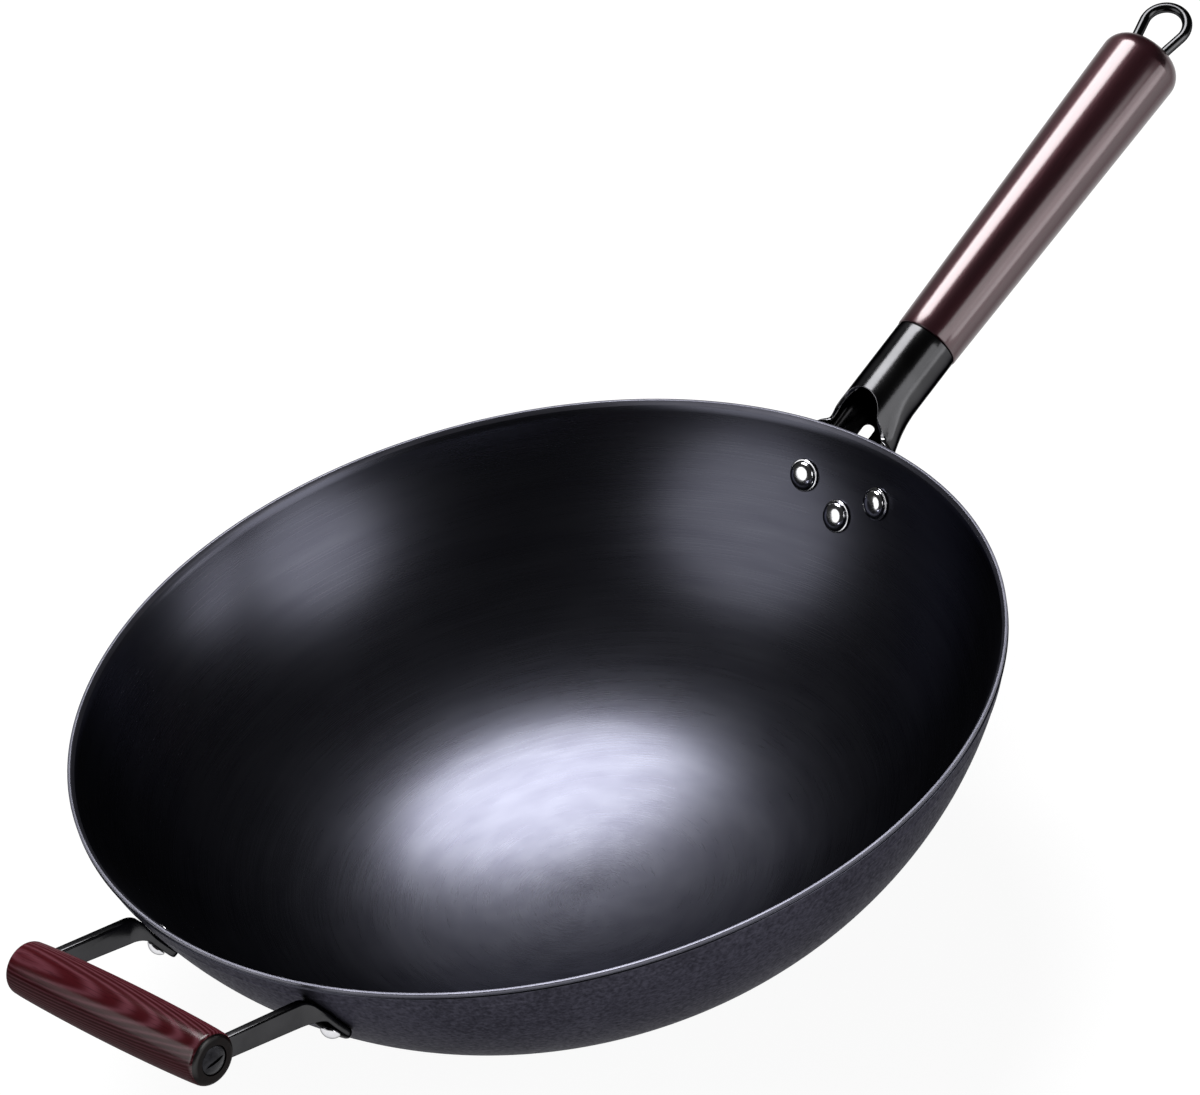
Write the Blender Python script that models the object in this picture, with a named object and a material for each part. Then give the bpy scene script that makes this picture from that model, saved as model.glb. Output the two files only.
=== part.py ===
"""A cast iron wok with a long wooden handle and a wooden helper handle.

Metres, +Z up. The origin is the middle of the flat base, on the surface that the pan stands on.
+X runs out along the long handle. The helper handle has its own frame, turned a little
about the bowl's axis, in which it is symmetric about the XZ plane and reaches out along -X.
"""

import math

import bmesh
import bpy
from mathutils import Matrix, Vector

MM = 0.001
ACROSS = Vector((0.0, 1.0, 0.0))
UPWARDS = Vector((0.0, 0.0, 1.0))

# Fits
CLEARANCE = 0.3 * MM  # gap between two pieces that touch
FASTENER_SEGMENTS = 20  # round the smaller screws, nuts and holes

# Bowl
RIM_RADIUS = 170.0 * MM  # outer wall at the rim
BOWL_HEIGHT = 105.0 * MM  # floor to rim
BASE_RADIUS = 52.0 * MM  # flat the pan stands on
BASE_SLOPE = math.radians(15.0)  # of the outer wall where it leaves the flat, from level
RIM_SLOPE = math.radians(72.0)  # of the wall at the rim
WALL = 2.4 * MM
FLOOR_THICKNESS = 3.0 * MM  # in the middle, where the cast bottom is flat inside as well
INNER_FLAT_RADIUS = 20.0 * MM
RIM_STEP_HEIGHT = 2.2 * MM  # band turned on the outside of the rim
RIM_STEP_DEPTH = 0.6 * MM
RIM_EDGE = 0.4 * MM  # rounding of the rim's inner edge
BOWL_SEGMENTS = 72
LOWER_STEPS = 4  # rows of facets on each lower arc of the wall
UPPER_STEPS = 7

# Long handle axis, measured where it passes over the rim radius
HANDLE_TILT = math.radians(19.0)
HANDLE_DROP = 2.9 * MM  # below the rim plane at the rim radius

# Bracket of the long handle: a tube split into petals that lie on the wall
TUBE_RADIUS = 12.5 * MM
SHEET = 1.6 * MM
SEAM_REACH = 46.8 * MM  # from the rim radius to the wood, along the handle
OPENING_REACH = 23.0 * MM  # where the sides of the tube start to open out
OPENING = math.radians(18.0)
OPENING_RADIUS = 50.0 * MM
OPENING_SIDE = math.radians(112.0)  # from the top, where the tube opens out most
OPENING_FOCUS = 8  # the higher, the less the top and the bottom of the tube open out
FLARE_RADIUS = 6.5 * MM  # bend onto the wall, at the middle of the sheet
FLARE_TOP_RADIUS = 1.0 * MM
FLARE_FULL_ANGLE = math.radians(110.0)  # from the top, where the bend reaches its full radius
ARCH_REACH = 15.0 * MM  # crown of the arch, from the rim radius
ARCH_FALL = 27.0 * MM  # from the crown to where the arch's edge crosses the sides of the tube
ARCH_POWER = 2.5  # 1 is a pointed arch, and more is rounder
SLOT_ANGLE = math.radians(151.0)  # slots between the tongue and the two wings
SLOT_REACH = 12.5 * MM
SLOT_HALF_WIDTH = 2.4 * MM
NOTCH_SHARE = 0.3  # part of the bend that is left between two petals
WING_SHOULDER_ACROSS = 12.6 * MM
WING_SHOULDER_DROP = 8.4 * MM
WING_SHOULDER_RADIUS = 9.6 * MM
PAD_RADIUS = 8.6 * MM  # petal round a rivet
TONGUE_ROOT_DROP = 18.0 * MM
TONGUE_ROOT_RADIUS = 7.4 * MM
BEND_LATEST = 0.93  # share of a line by which its bend has started
PETAL_SEGMENTS = 28  # columns of the bracket on each side of its middle
OUTLINE_SAMPLES = 540  # lines tried on each side to find the outline of the sheet

# Rivets of the long handle
RIVET_ACROSS = 18.6 * MM
RIVET_DROP = 20.6 * MM  # below the rim plane
LOWER_RIVET_DROP = 30.4 * MM
RIVET_SHANK_RADIUS = 2.6 * MM
RIVET_HEAD_RADIUS = 6.2 * MM
RIVET_HEAD_HEIGHT = 3.4 * MM
RIVET_TAIL_RADIUS = 4.6 * MM
RIVET_TAIL_HEIGHT = 2.2 * MM
RIVET_LIP = 0.7 * MM  # thin flange round the dome
RIVET_SEGMENTS = 16

# Long grip
GRIP_LENGTH = 149.0 * MM
GRIP_FERRULE_RADIUS = 12.8 * MM
GRIP_END_RADIUS = 15.8 * MM
GRIP_END_ROUNDING = 8.5 * MM
GRIP_EDGE = 0.5 * MM
GRIP_SEGMENTS = 32
TENON_LENGTH = 22.0 * MM

# Screw through the underside of the tube into the tenon
SCREW_INSET = 11.0 * MM  # from the end of the tube
SCREW_SHANK_RADIUS = 1.7 * MM
SCREW_HEAD_RADIUS = 3.4 * MM
SCREW_HEAD_HEIGHT = 1.8 * MM
SCREW_LENGTH = 9.0 * MM
SCREW_HEAD_LIP = 0.7 * MM
SCREW_TIP_RADIUS = 0.7 * MM
SCREW_SLOT_WIDTH = 0.9 * MM
SCREW_SLOT_DEPTH = 0.8 * MM

# Hanging loop
LOOP_WIRE_RADIUS = 2.0 * MM
LOOP_RING_RADIUS = 8.5 * MM  # to the middle of the wire
LOOP_LEG_ACROSS = 6.2 * MM  # where the legs enter the wood
LOOP_REACH = 12.4 * MM  # from the wood's end to the middle of the ring
LOOP_OFFSET = 1.6 * MM  # of the eye from the middle of the wood
LOOP_LEG_LENGTH = 18.0 * MM  # in the wood
LOOP_ROLL = math.radians(16.0)

# Helper handle
HELPER_TURN = math.radians(1.85)  # off the long handle's line, about the bowl's axis
HELPER_REACH = 37.5 * MM  # rim radius to the barrel's axis
HELPER_RISE = 0.8 * MM  # of the barrel's axis above the rim plane
HELPER_HALF_LENGTH = 47.6 * MM
HELPER_RADIUS = 10.8 * MM
HELPER_END_RADIUS = 9.7 * MM
HELPER_ROUNDING = 2.6 * MM
HELPER_SEGMENTS = 26
HELPER_FULLNESS = 0.7  # 1 swells the barrel like a cosine, and less makes it fuller
STRAP_TILT = math.radians(17.5)  # the arms fall towards the bowl
STRAP_INSET = 4.7 * MM  # from the end of the barrel to the middle of an arm
STRAP_THICKNESS = 3.9 * MM
STRAP_HEIGHT = 9.2 * MM
STRAP_EDGE = 0.9 * MM
FOOT_THICKNESS = 2.8 * MM
FOOT_WIDTH = 9.4 * MM
FOOT_PAST_RIVET = 7.4 * MM  # down from the rivet to the bottom of the foot
STRAP_BEND_LENGTH = 6.0 * MM  # from the bend's corner to either end of the bend
STRAP_BEND_PULL = 0.6  # how far the bend is drawn into its corner, from 0 to 1

# Rivets of the helper handle
HELPER_RIVET_INSET = 6.25 * MM  # down from the end of the arm's bend to the rivet
HELPER_RIVET_SHANK_RADIUS = 1.9 * MM
HELPER_RIVET_HEAD_RADIUS = 4.6 * MM
HELPER_RIVET_HEAD_HEIGHT = 1.3 * MM
HELPER_RIVET_TAIL_RADIUS = 3.6 * MM
HELPER_RIVET_TAIL_HEIGHT = 2.6 * MM

# Bolt and nut of the helper handle, both sunk in the ends of the barrel
BOLT_RADIUS = 2.0 * MM
BOLT_HEAD_RADIUS = 5.2 * MM
BOLT_HEAD_HEIGHT = 1.8 * MM
BOLT_HEAD_LIP = 0.6 * MM
BOLT_SLOT_WIDTH = 1.2 * MM
BOLT_SLOT_DEPTH = 0.8 * MM
BOLT_SEAT_DEPTH = 1.2 * MM  # of the recess round the head and round the nut
NUT_RADIUS = 4.6 * MM
NUT_HEIGHT = 1.6 * MM
NUT_EDGE = 0.3 * MM
NUT_SLOT_WIDTH = 1.2 * MM
NUT_SLOT_DEPTH = 0.7 * MM


def remove_old_objects():
    for old in list(bpy.data.objects):
        bpy.data.objects.remove(old, do_unlink=True)


def finish_material(name, colour, roughness, metallic):
    material = bpy.data.materials.new(name)
    material.use_nodes = True
    shader = material.node_tree.nodes["Principled BSDF"]
    shader.inputs["Base Color"].default_value = (*colour, 1.0)
    shader.inputs["Roughness"].default_value = roughness
    shader.inputs["Metallic"].default_value = metallic
    return material


def add_object(name, mesh, material=None):
    made = bpy.data.objects.new(name, mesh)
    bpy.context.scene.collection.objects.link(made)
    if material:
        mesh.materials.append(material)
    return made


def mesh_from(name, bm, smooth_angle=35.0):
    """Closes off a bmesh: faces point out, and faces that meet gently are shaded smooth."""
    bmesh.ops.recalc_face_normals(bm, faces=bm.faces)
    mesh = bpy.data.meshes.new(name)
    bm.to_mesh(mesh)
    bm.free()
    mesh.shade_smooth()
    mesh.set_sharp_from_angle(angle=math.radians(smooth_angle))
    return mesh


def turned_mesh(name, outline, segments):
    """Spins (radius, height) points round Z. An outline that returns to its start is a ring."""
    bm = bmesh.new()
    points = [bm.verts.new((radius, 0.0, height)) for radius, height in outline]
    edges = [bm.edges.new(pair) for pair in zip(points, points[1:])]
    if outline[0][0] > 0.0 and outline[-1][0] > 0.0:
        edges.append(bm.edges.new((points[-1], points[0])))
    bmesh.ops.spin(
        bm,
        geom=points + edges,
        axis=UPWARDS,
        cent=(0.0, 0.0, 0.0),
        steps=segments,
        angle=math.tau,
        use_merge=True,
    )
    bmesh.ops.remove_doubles(bm, verts=bm.verts, dist=0.001 * MM)
    return mesh_from(name, bm)


def ring_mesh(name, rings):
    """Skins rings of equally many points, and fills the first and the last ring."""
    bm = bmesh.new()
    rows = [[bm.verts.new(point) for point in ring] for ring in rings]
    count = len(rows[0])
    for row, following in zip(rows, rows[1:]):
        for i in range(count):
            j = (i + 1) % count
            bm.faces.new((row[i], row[j], following[j], following[i]))
    bm.faces.new(rows[0])
    bm.faces.new(rows[-1])
    return mesh_from(name, bm)


def aimed(direction, place):
    """A placement whose local Z points along a direction."""
    turn = direction.to_track_quat("Z", "Y").to_matrix().to_4x4()
    return Matrix.Translation(place) @ turn


def arc(centre, radius, start, end, steps):
    """Points of an arc, from one angle to another in degrees, both ends included."""
    angles = [math.radians(start + (end - start) * i / steps) for i in range(steps + 1)]
    return [
        (centre[0] + radius * math.cos(angle), centre[1] + radius * math.sin(angle))
        for angle in angles
    ]


def cutter(name, radius, depth, placement):
    """A hidden cylinder that a Boolean takes away, with the placement at its middle."""
    bm = bmesh.new()
    bmesh.ops.create_cone(
        bm,
        cap_ends=True,
        segments=FASTENER_SEGMENTS,
        radius1=radius,
        radius2=radius,
        depth=depth,
    )
    made = add_object(name, mesh_from(name, bm))
    made.matrix_world = placement
    made.hide_render = True
    made.display_type = "WIRE"
    return made


def box_cutter(name, size, placement):
    bm = bmesh.new()
    bmesh.ops.create_cube(bm, size=1.0)
    bmesh.ops.scale(bm, vec=size, verts=bm.verts)
    made = add_object(name, mesh_from(name, bm))
    made.matrix_world = placement
    made.hide_render = True
    made.display_type = "WIRE"
    return made


def cut(target, tool):
    boolean = target.modifiers.new(tool.name, "BOOLEAN")
    boolean.operation = "DIFFERENCE"
    boolean.solver = "EXACT"
    boolean.object = tool


# Shape of the bowl's wall


def two_arcs(start, start_slope, end, end_slope):
    """Two arcs that join two points smoothly: the slope where they meet, then each arc."""
    start_run = Vector((math.cos(start_slope), math.sin(start_slope)))
    end_run = Vector((math.cos(end_slope), math.sin(end_slope)))
    chord = end - start
    across = chord.dot(start_run + end_run)
    turning = 1.0 - start_run.dot(end_run)
    run = math.sqrt(across**2 + 2.0 * turning * chord.length_squared) - across
    run /= 2.0 * turning
    join = (start + start_run * run + end - end_run * run) / 2.0
    join_slope = 2.0 * math.atan2(join.y - start.y, join.x - start.x) - start_slope
    first_radius = (join - start).length / (2.0 * math.sin((join_slope - start_slope) / 2.0))
    second_radius = (end - join).length / (2.0 * math.sin((end_slope - join_slope) / 2.0))
    first_centre = start + Vector((-start_run.y, start_run.x)) * first_radius
    second_centre = end + Vector((-end_run.y, end_run.x)) * second_radius
    return join_slope, (first_centre, first_radius), (second_centre, second_radius)


JOIN_SLOPE, LOWER_ARC, UPPER_ARC = two_arcs(
    Vector((BASE_RADIUS, 0.0)),
    BASE_SLOPE,
    Vector((RIM_RADIUS + RIM_STEP_DEPTH, BOWL_HEIGHT)),
    RIM_SLOPE,
)


def on_arc(curve, slope, out=0.0):
    """(radius, height) where an arc has this slope, or that far outside it."""
    centre, radius = curve
    reach = radius + out
    return centre.x + reach * math.sin(slope), centre.y - reach * math.cos(slope)


def wall_at_slope(slope, out=0.0):
    """(radius, height) on the outer wall where it has this slope, or that far outside it."""
    return on_arc(LOWER_ARC if slope < JOIN_SLOPE else UPPER_ARC, slope, out)


def slope_at_height(height, out=0.0):
    """Slope of the outer wall at a height, or of the surface that far outside it."""
    join_height = wall_at_slope(JOIN_SLOPE, out)[1]
    centre, radius = LOWER_ARC if height < join_height else UPPER_ARC
    return math.acos((centre.y - height) / (radius + out))


def off_wall(point):
    """How far a point lies outside the outer wall, and the wall's outward direction there."""
    outwards = Vector((point.x, point.y, 0.0))
    reach = outwards.length
    outwards /= reach
    upper_centre = UPPER_ARC[0]
    slope = math.atan2(reach - upper_centre.x, upper_centre.y - point.z)
    centre, radius = LOWER_ARC if slope < JOIN_SLOPE else UPPER_ARC
    away = Vector((reach - centre.x, point.z - centre.y))
    normal = (outwards * away.x + UPWARDS * away.y) / away.length
    return away.length - radius, normal


def wall_spot(end, across, drop, out=0.0):
    """A point outside the wall and its outward direction, on the +X end (1) or the -X end (-1)."""
    slope = slope_at_height(BOWL_HEIGHT - drop)
    reach = wall_at_slope(slope)[0]
    inwards = math.sqrt(reach**2 - across**2)
    place = Vector((end * inwards, across, BOWL_HEIGHT - drop))
    normal = off_wall(place)[1]
    return place + normal * out, normal


def steps_between(low, high, steps):
    return [low + (high - low) * i / steps for i in range(steps + 1)]


def floor_outline():
    """Inside of the bowl from where the wall starts to thicken to the flat in the middle."""
    meeting = Vector(wall_at_slope(JOIN_SLOPE, -WALL))
    middle = Vector((INNER_FLAT_RADIUS, FLOOR_THICKNESS))
    slope, middle_arc, side_arc = two_arcs(middle, 0.0, meeting, JOIN_SLOPE)
    outline = [on_arc(side_arc, s) for s in steps_between(JOIN_SLOPE, slope, LOWER_STEPS)]
    outline += [on_arc(middle_arc, s) for s in steps_between(slope, 0.0, LOWER_STEPS)[1:]]
    return outline


def wok_body(material):
    """The wall follows two arcs outside and is even down to where the floor thickens."""
    step_height = BOWL_HEIGHT - RIM_STEP_HEIGHT
    step_slope = slope_at_height(step_height)
    step_radius = wall_at_slope(step_slope)[0]
    inner_slope = slope_at_height(BOWL_HEIGHT - RIM_EDGE, -WALL)
    inner_radius = wall_at_slope(inner_slope, -WALL)[0]
    outline = [(0.0, 0.0)]
    lower = steps_between(BASE_SLOPE, JOIN_SLOPE, LOWER_STEPS)
    upper = steps_between(JOIN_SLOPE, step_slope, UPPER_STEPS)
    outline += [on_arc(LOWER_ARC, slope) for slope in lower]
    outline += [on_arc(UPPER_ARC, slope) for slope in upper[1:]]
    outline += [
        (step_radius - RIM_STEP_DEPTH, step_height + RIM_STEP_DEPTH / 3.0),
        (RIM_RADIUS, BOWL_HEIGHT),
        (inner_radius + RIM_EDGE, BOWL_HEIGHT),
    ]
    upper = steps_between(inner_slope, JOIN_SLOPE, UPPER_STEPS)
    outline += [on_arc(UPPER_ARC, slope, -WALL) for slope in upper[:-1]]
    outline += floor_outline() + [(0.0, FLOOR_THICKNESS)]
    body = add_object("wok_body", turned_mesh("wok_body", outline, BOWL_SEGMENTS), material)
    for name, frame, spot, shank in rivet_spots():
        place, normal = spot
        hole = cutter(
            f"{name}_body_hole",
            shank + CLEARANCE,
            WALL * 4.0,
            frame @ aimed(normal, place - normal * WALL / 2.0),
        )
        cut(body, hole)
    return body


# Rivets


def handle_rivet_spots():
    return [
        ("handle_rivet_left", wall_spot(1, RIVET_ACROSS, RIVET_DROP)),
        ("handle_rivet_right", wall_spot(1, -RIVET_ACROSS, RIVET_DROP)),
        ("handle_rivet_lower", wall_spot(1, 0.0, LOWER_RIVET_DROP)),
    ]


def strap_plane():
    """How far the middle of a helper arm lies from the helper handle's middle plane."""
    return HELPER_HALF_LENGTH - STRAP_INSET


def helper_rivet_spot(sign):
    return wall_spot(-1, sign * strap_plane(), foot_top_drop() + HELPER_RIVET_INSET)


def helper_rivet_spots():
    return [
        ("helper_rivet_left", helper_rivet_spot(1)),
        ("helper_rivet_right", helper_rivet_spot(-1)),
    ]


def rivet_spots():
    """Name, frame, place on the wall and shank radius of all five rivets."""
    large = [
        (name, Matrix.Identity(4), spot, RIVET_SHANK_RADIUS)
        for name, spot in handle_rivet_spots()
    ]
    small = [
        (name, HELPER_FRAME, spot, HELPER_RIVET_SHANK_RADIUS)
        for name, spot in helper_rivet_spots()
    ]
    return large + small


def dome(radius, height, lip, steps):
    """Outline of a low dome from its rim to its crown: (radius, height above its seat)."""
    crown = height - lip
    ball = (radius**2 + crown**2) / (2.0 * crown)
    half_angle = math.degrees(math.asin(radius / ball))
    start = (0.0, height - ball)
    return arc(start, ball, 90.0 - half_angle, 90.0, steps)


def rivet(name, frame, spot, shank, head, head_height, tail, tail_height, stack, material):
    """Head inside the bowl, shank through the wall and the sheet, tail formed on the outside."""
    place, normal = spot
    hollow = UPPER_ARC[1] - WALL
    head_seat = -(WALL + CLEARANCE + head**2 / (2.0 * hollow))
    tail_seat = stack + CLEARANCE
    inside = dome(head - RIVET_LIP, head_height, RIVET_LIP, 5)
    outside = dome(tail, tail_height, RIVET_LIP, 4)
    outline = [(radius, head_seat - height) for radius, height in reversed(inside)]
    outline[0] = (0.0, head_seat - head_height)
    outline += [
        (head, head_seat - RIVET_LIP),
        (head, head_seat),
        (shank, head_seat),
        (shank, tail_seat),
        (tail, tail_seat),
    ]
    outline += [(radius, tail_seat + height) for radius, height in outside[:-1]]
    outline += [(0.0, tail_seat + tail_height)]
    made = add_object(name, turned_mesh(name, outline, RIVET_SEGMENTS), material)
    made.matrix_world = frame @ aimed(normal, place)
    return made


# Bracket of the long handle


HANDLE_AXIS = Vector((math.cos(HANDLE_TILT), 0.0, math.sin(HANDLE_TILT)))
HANDLE_TOP = Vector((-math.sin(HANDLE_TILT), 0.0, math.cos(HANDLE_TILT)))
HANDLE_FOOT = Vector((RIM_RADIUS, 0.0, BOWL_HEIGHT - HANDLE_DROP))


def round_handle(angle):
    """Direction away from the handle's axis: 0 is its top, a quarter turn its +Y side."""
    return HANDLE_TOP * math.cos(angle) + ACROSS * math.sin(angle)


class Petal:
    """One line of the bracket's sheet: down the tube, round the bend and out along the wall."""

    def __init__(self, angle):
        self.out = round_handle(angle)
        lower_side = min(angle / FLARE_FULL_ANGLE, 1.0) ** 6
        leaning = math.pi * (angle / math.pi) ** (math.log(0.5) / math.log(OPENING_SIDE / math.pi))
        self.opening = OPENING * math.sin(leaning) ** OPENING_FOCUS
        self.flare = FLARE_TOP_RADIUS + (FLARE_RADIUS - FLARE_TOP_RADIUS) * lower_side
        self.seat = CLEARANCE + SHEET / 2.0
        low = 0.0
        high = 2.0 * SEAM_REACH
        for _ in range(40):
            middle = (low + high) / 2.0
            if off_wall(self.ball_centre(middle))[0] > self.seat + self.flare:
                low = middle
            else:
                high = middle
        self.bend_start = low
        self.leaving = self.on_tube(low)[1]
        self.ball = self.ball_centre(low)
        self.wall_normal = off_wall(self.ball)[1]
        self.turn = self.leaving.angle(self.wall_normal)
        self.bend_end = self.bend_start + self.flare * self.turn

    def on_tube(self, run):
        """Point and outward direction this far from the wood, as if there were no wall."""
        past = run - (SEAM_REACH - OPENING_REACH)
        opened = min(max(past / OPENING_RADIUS, 0.0), self.opening)
        straight = past - OPENING_RADIUS * opened
        forward = -HANDLE_AXIS * math.cos(opened) + self.out * math.sin(opened)
        facing = self.out * math.cos(opened) + HANDLE_AXIS * math.sin(opened)
        place = HANDLE_FOOT + HANDLE_AXIS * OPENING_REACH
        place += self.out * (TUBE_RADIUS - SHEET / 2.0)
        place += (self.out - facing) * OPENING_RADIUS + forward * straight
        return place, facing

    def ball_centre(self, run):
        """Middle of a ball that rolls in the corner between the tube and the wall."""
        place, facing = self.on_tube(run)
        return place + facing * self.flare

    def at(self, run):
        """Point and outward direction of the sheet's middle, this far from the wood."""
        if run <= self.bend_start:
            return self.on_tube(run)
        sine = math.sin(self.turn)
        if run <= self.bend_end:
            part = (run - self.bend_start) / self.flare
            facing = self.leaving * math.sin(self.turn - part)
            facing = (facing + self.wall_normal * math.sin(part)) / sine
            return self.ball - facing * self.flare, facing
        onwards = (self.leaving - self.wall_normal * math.cos(self.turn)) / sine
        place = self.ball - self.wall_normal * self.flare + onwards * (run - self.bend_end)
        away, normal = off_wall(place)
        return place + normal * (self.seat - away), normal


def tapered_pad(start, start_radius, end, end_radius):
    """Tells whether a point lies in the pad that widens from one round end to the other."""
    along = end - start

    def covers(point):
        share = (point - start).dot(along) / along.length_squared
        share = min(max(share, 0.0), 1.0)
        radius = start_radius + (end_radius - start_radius) * share
        return (point - start - along * share).length < radius

    return covers


def petal_pads():
    out = CLEARANCE + SHEET / 2.0
    shoulder = wall_spot(1, WING_SHOULDER_ACROSS, WING_SHOULDER_DROP, out)[0]
    wing = wall_spot(1, RIVET_ACROSS, RIVET_DROP, out)[0]
    root = wall_spot(1, 0.0, TONGUE_ROOT_DROP, out)[0]
    tip = wall_spot(1, 0.0, LOWER_RIVET_DROP, out)[0]
    return [
        tapered_pad(shoulder, WING_SHOULDER_RADIUS, wing, PAD_RADIUS),
        tapered_pad(root, TONGUE_ROOT_RADIUS, tip, PAD_RADIUS),
    ]


def sheet_length(petal, angle, pads):
    """How far the sheet runs from the wood at this angle: to the arch, a notch or a pad's edge."""
    arch = SEAM_REACH - ARCH_REACH + ARCH_FALL * (angle / (math.pi / 2.0)) ** ARCH_POWER
    bend = petal.bend_end - petal.bend_start
    notch = petal.bend_start + bend * NOTCH_SHARE * angle / math.pi
    length = min(arch, notch)
    step = 0.5 * MM
    run = petal.bend_end + 4.0 * PAD_RADIUS
    while run > length:
        if any(covers(petal.at(run)[0]) for covers in pads):
            return run
        run -= step
    return length


def even_outline(points, count):
    """Points evenly spaced along a line of (angle, length) points, ends kept."""
    walked = [0.0]
    for a, b in zip(points, points[1:]):
        walked.append(walked[-1] + math.hypot((b[0] - a[0]) * TUBE_RADIUS, b[1] - a[1]))
    spaced = []
    i = 0
    for k in range(count + 1):
        goal = walked[-1] * k / count
        while i < len(walked) - 2 and walked[i + 1] < goal:
            i += 1
        share = (goal - walked[i]) / (walked[i + 1] - walked[i])
        share = min(max(share, 0.0), 1.0)
        a, b = points[i], points[i + 1]
        spaced.append((a[0] + (b[0] - a[0]) * share, a[1] + (b[1] - a[1]) * share))
    return spaced


def eased(points, rounds):
    """Rounds the corners of the outline, which is mirrored at both of its ends."""
    for _ in range(rounds):
        inner = [
            ((a[0] + b[0] + c[0]) / 3.0, (a[1] + b[1] + c[1]) / 3.0)
            for a, b, c in zip(points, points[1:], points[2:])
        ]
        first, last = points[0], points[-1]
        crown = (first[0], (first[1] + 2.0 * points[1][1]) / 3.0)
        tip = (last[0], (last[1] + 2.0 * points[-2][1]) / 3.0)
        points = [crown] + inner + [tip]
    return points


def bracket_rows(petal, length):
    """Distances from the wood at which a line of the sheet gets a point."""
    bend = min(petal.bend_start, length * BEND_LATEST)
    straight = [bend * share for share in (0.0, 0.5, 0.85)]
    return straight + steps_between(bend, length, 7)


def slot_cutter(name, sign):
    """Sweeps a round-ended slot along the sheet, from the tube to past the notch on the wall."""
    petal = Petal(SLOT_ANGLE)
    start = SEAM_REACH - SLOT_REACH
    stops = [
        (start + SLOT_HALF_WIDTH * (1.0 - math.cos(turn)), SLOT_HALF_WIDTH * math.sin(turn))
        for turn in steps_between(math.radians(10.0), math.radians(90.0), 4)
    ]
    past_notch = petal.bend_end + SLOT_HALF_WIDTH
    stops += [(run, SLOT_HALF_WIDTH) for run in steps_between(stops[-1][0], past_notch, 8)[1:]]
    rings = []
    for run, half_width in stops:
        place, facing = petal.at(run)
        heading = petal.at(run + CLEARANCE)[0] - place
        side = heading.cross(facing).normalized() * half_width
        deep = facing * SHEET * 1.5
        ring = [place + side + deep, place - side + deep, place - side - deep, place + side - deep]
        rings.append([Vector((p.x, p.y * sign, p.z)) for p in ring])
    made = add_object(name, ring_mesh(name, rings))
    made.hide_render = True
    made.display_type = "WIRE"
    return made


def handle_bracket(material):
    pads = petal_pads()
    fine = []
    for angle in steps_between(0.0, math.pi, OUTLINE_SAMPLES):
        fine.append((angle, sheet_length(Petal(angle), angle, pads)))
    outline = even_outline(eased(even_outline(fine, 6 * PETAL_SEGMENTS), 4), PETAL_SEGMENTS)
    half = []
    for angle, length in outline:
        petal = Petal(angle)
        half.append([petal.at(run) for run in bracket_rows(petal, length)])
    flip = Matrix.Scale(-1.0, 3, ACROSS)
    mirrored = [[(flip @ place, flip @ out) for place, out in line] for line in half[-2:0:-1]]
    lines = half + mirrored
    outer = [[place + out * SHEET / 2.0 for place, out in row] for row in zip(*lines)]
    inner = [[place - out * SHEET / 2.0 for place, out in row] for row in zip(*lines)]
    bm = bmesh.new()
    rows = [[bm.verts.new(point) for point in ring] for ring in outer + inner[::-1]]
    count = len(lines)
    for row, following in zip(rows, rows[1:] + rows[:1]):
        for i in range(count):
            j = (i + 1) % count
            bm.faces.new((row[i], row[j], following[j], following[i]))
    made = add_object("handle_bracket", mesh_from("handle_bracket", bm), material)
    for name, (place, normal) in handle_rivet_spots():
        hole = cutter(
            f"{name}_bracket_hole",
            RIVET_SHANK_RADIUS + CLEARANCE,
            SHEET * 6.0,
            aimed(normal, place),
        )
        cut(made, hole)
    for name, sign in (("left", 1), ("right", -1)):
        cut(made, slot_cutter(f"tongue_{name}_slot", sign))
    place, direction = screw_spot()
    hole = cutter(
        "grip_screw_bracket_hole",
        SCREW_SHANK_RADIUS + CLEARANCE,
        SHEET * 4.0,
        aimed(direction, place),
    )
    cut(made, hole)
    return made


# Long grip, its screw and its hanging loop


def along_handle(reach):
    """A point on the handle's axis, this far beyond the rim radius."""
    return HANDLE_FOOT + HANDLE_AXIS * reach


def screw_spot():
    """Where the screw crosses the outside of the tube, and the way its head faces."""
    out = -HANDLE_TOP
    return along_handle(SEAM_REACH - SCREW_INSET) + out * TUBE_RADIUS, out


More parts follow.
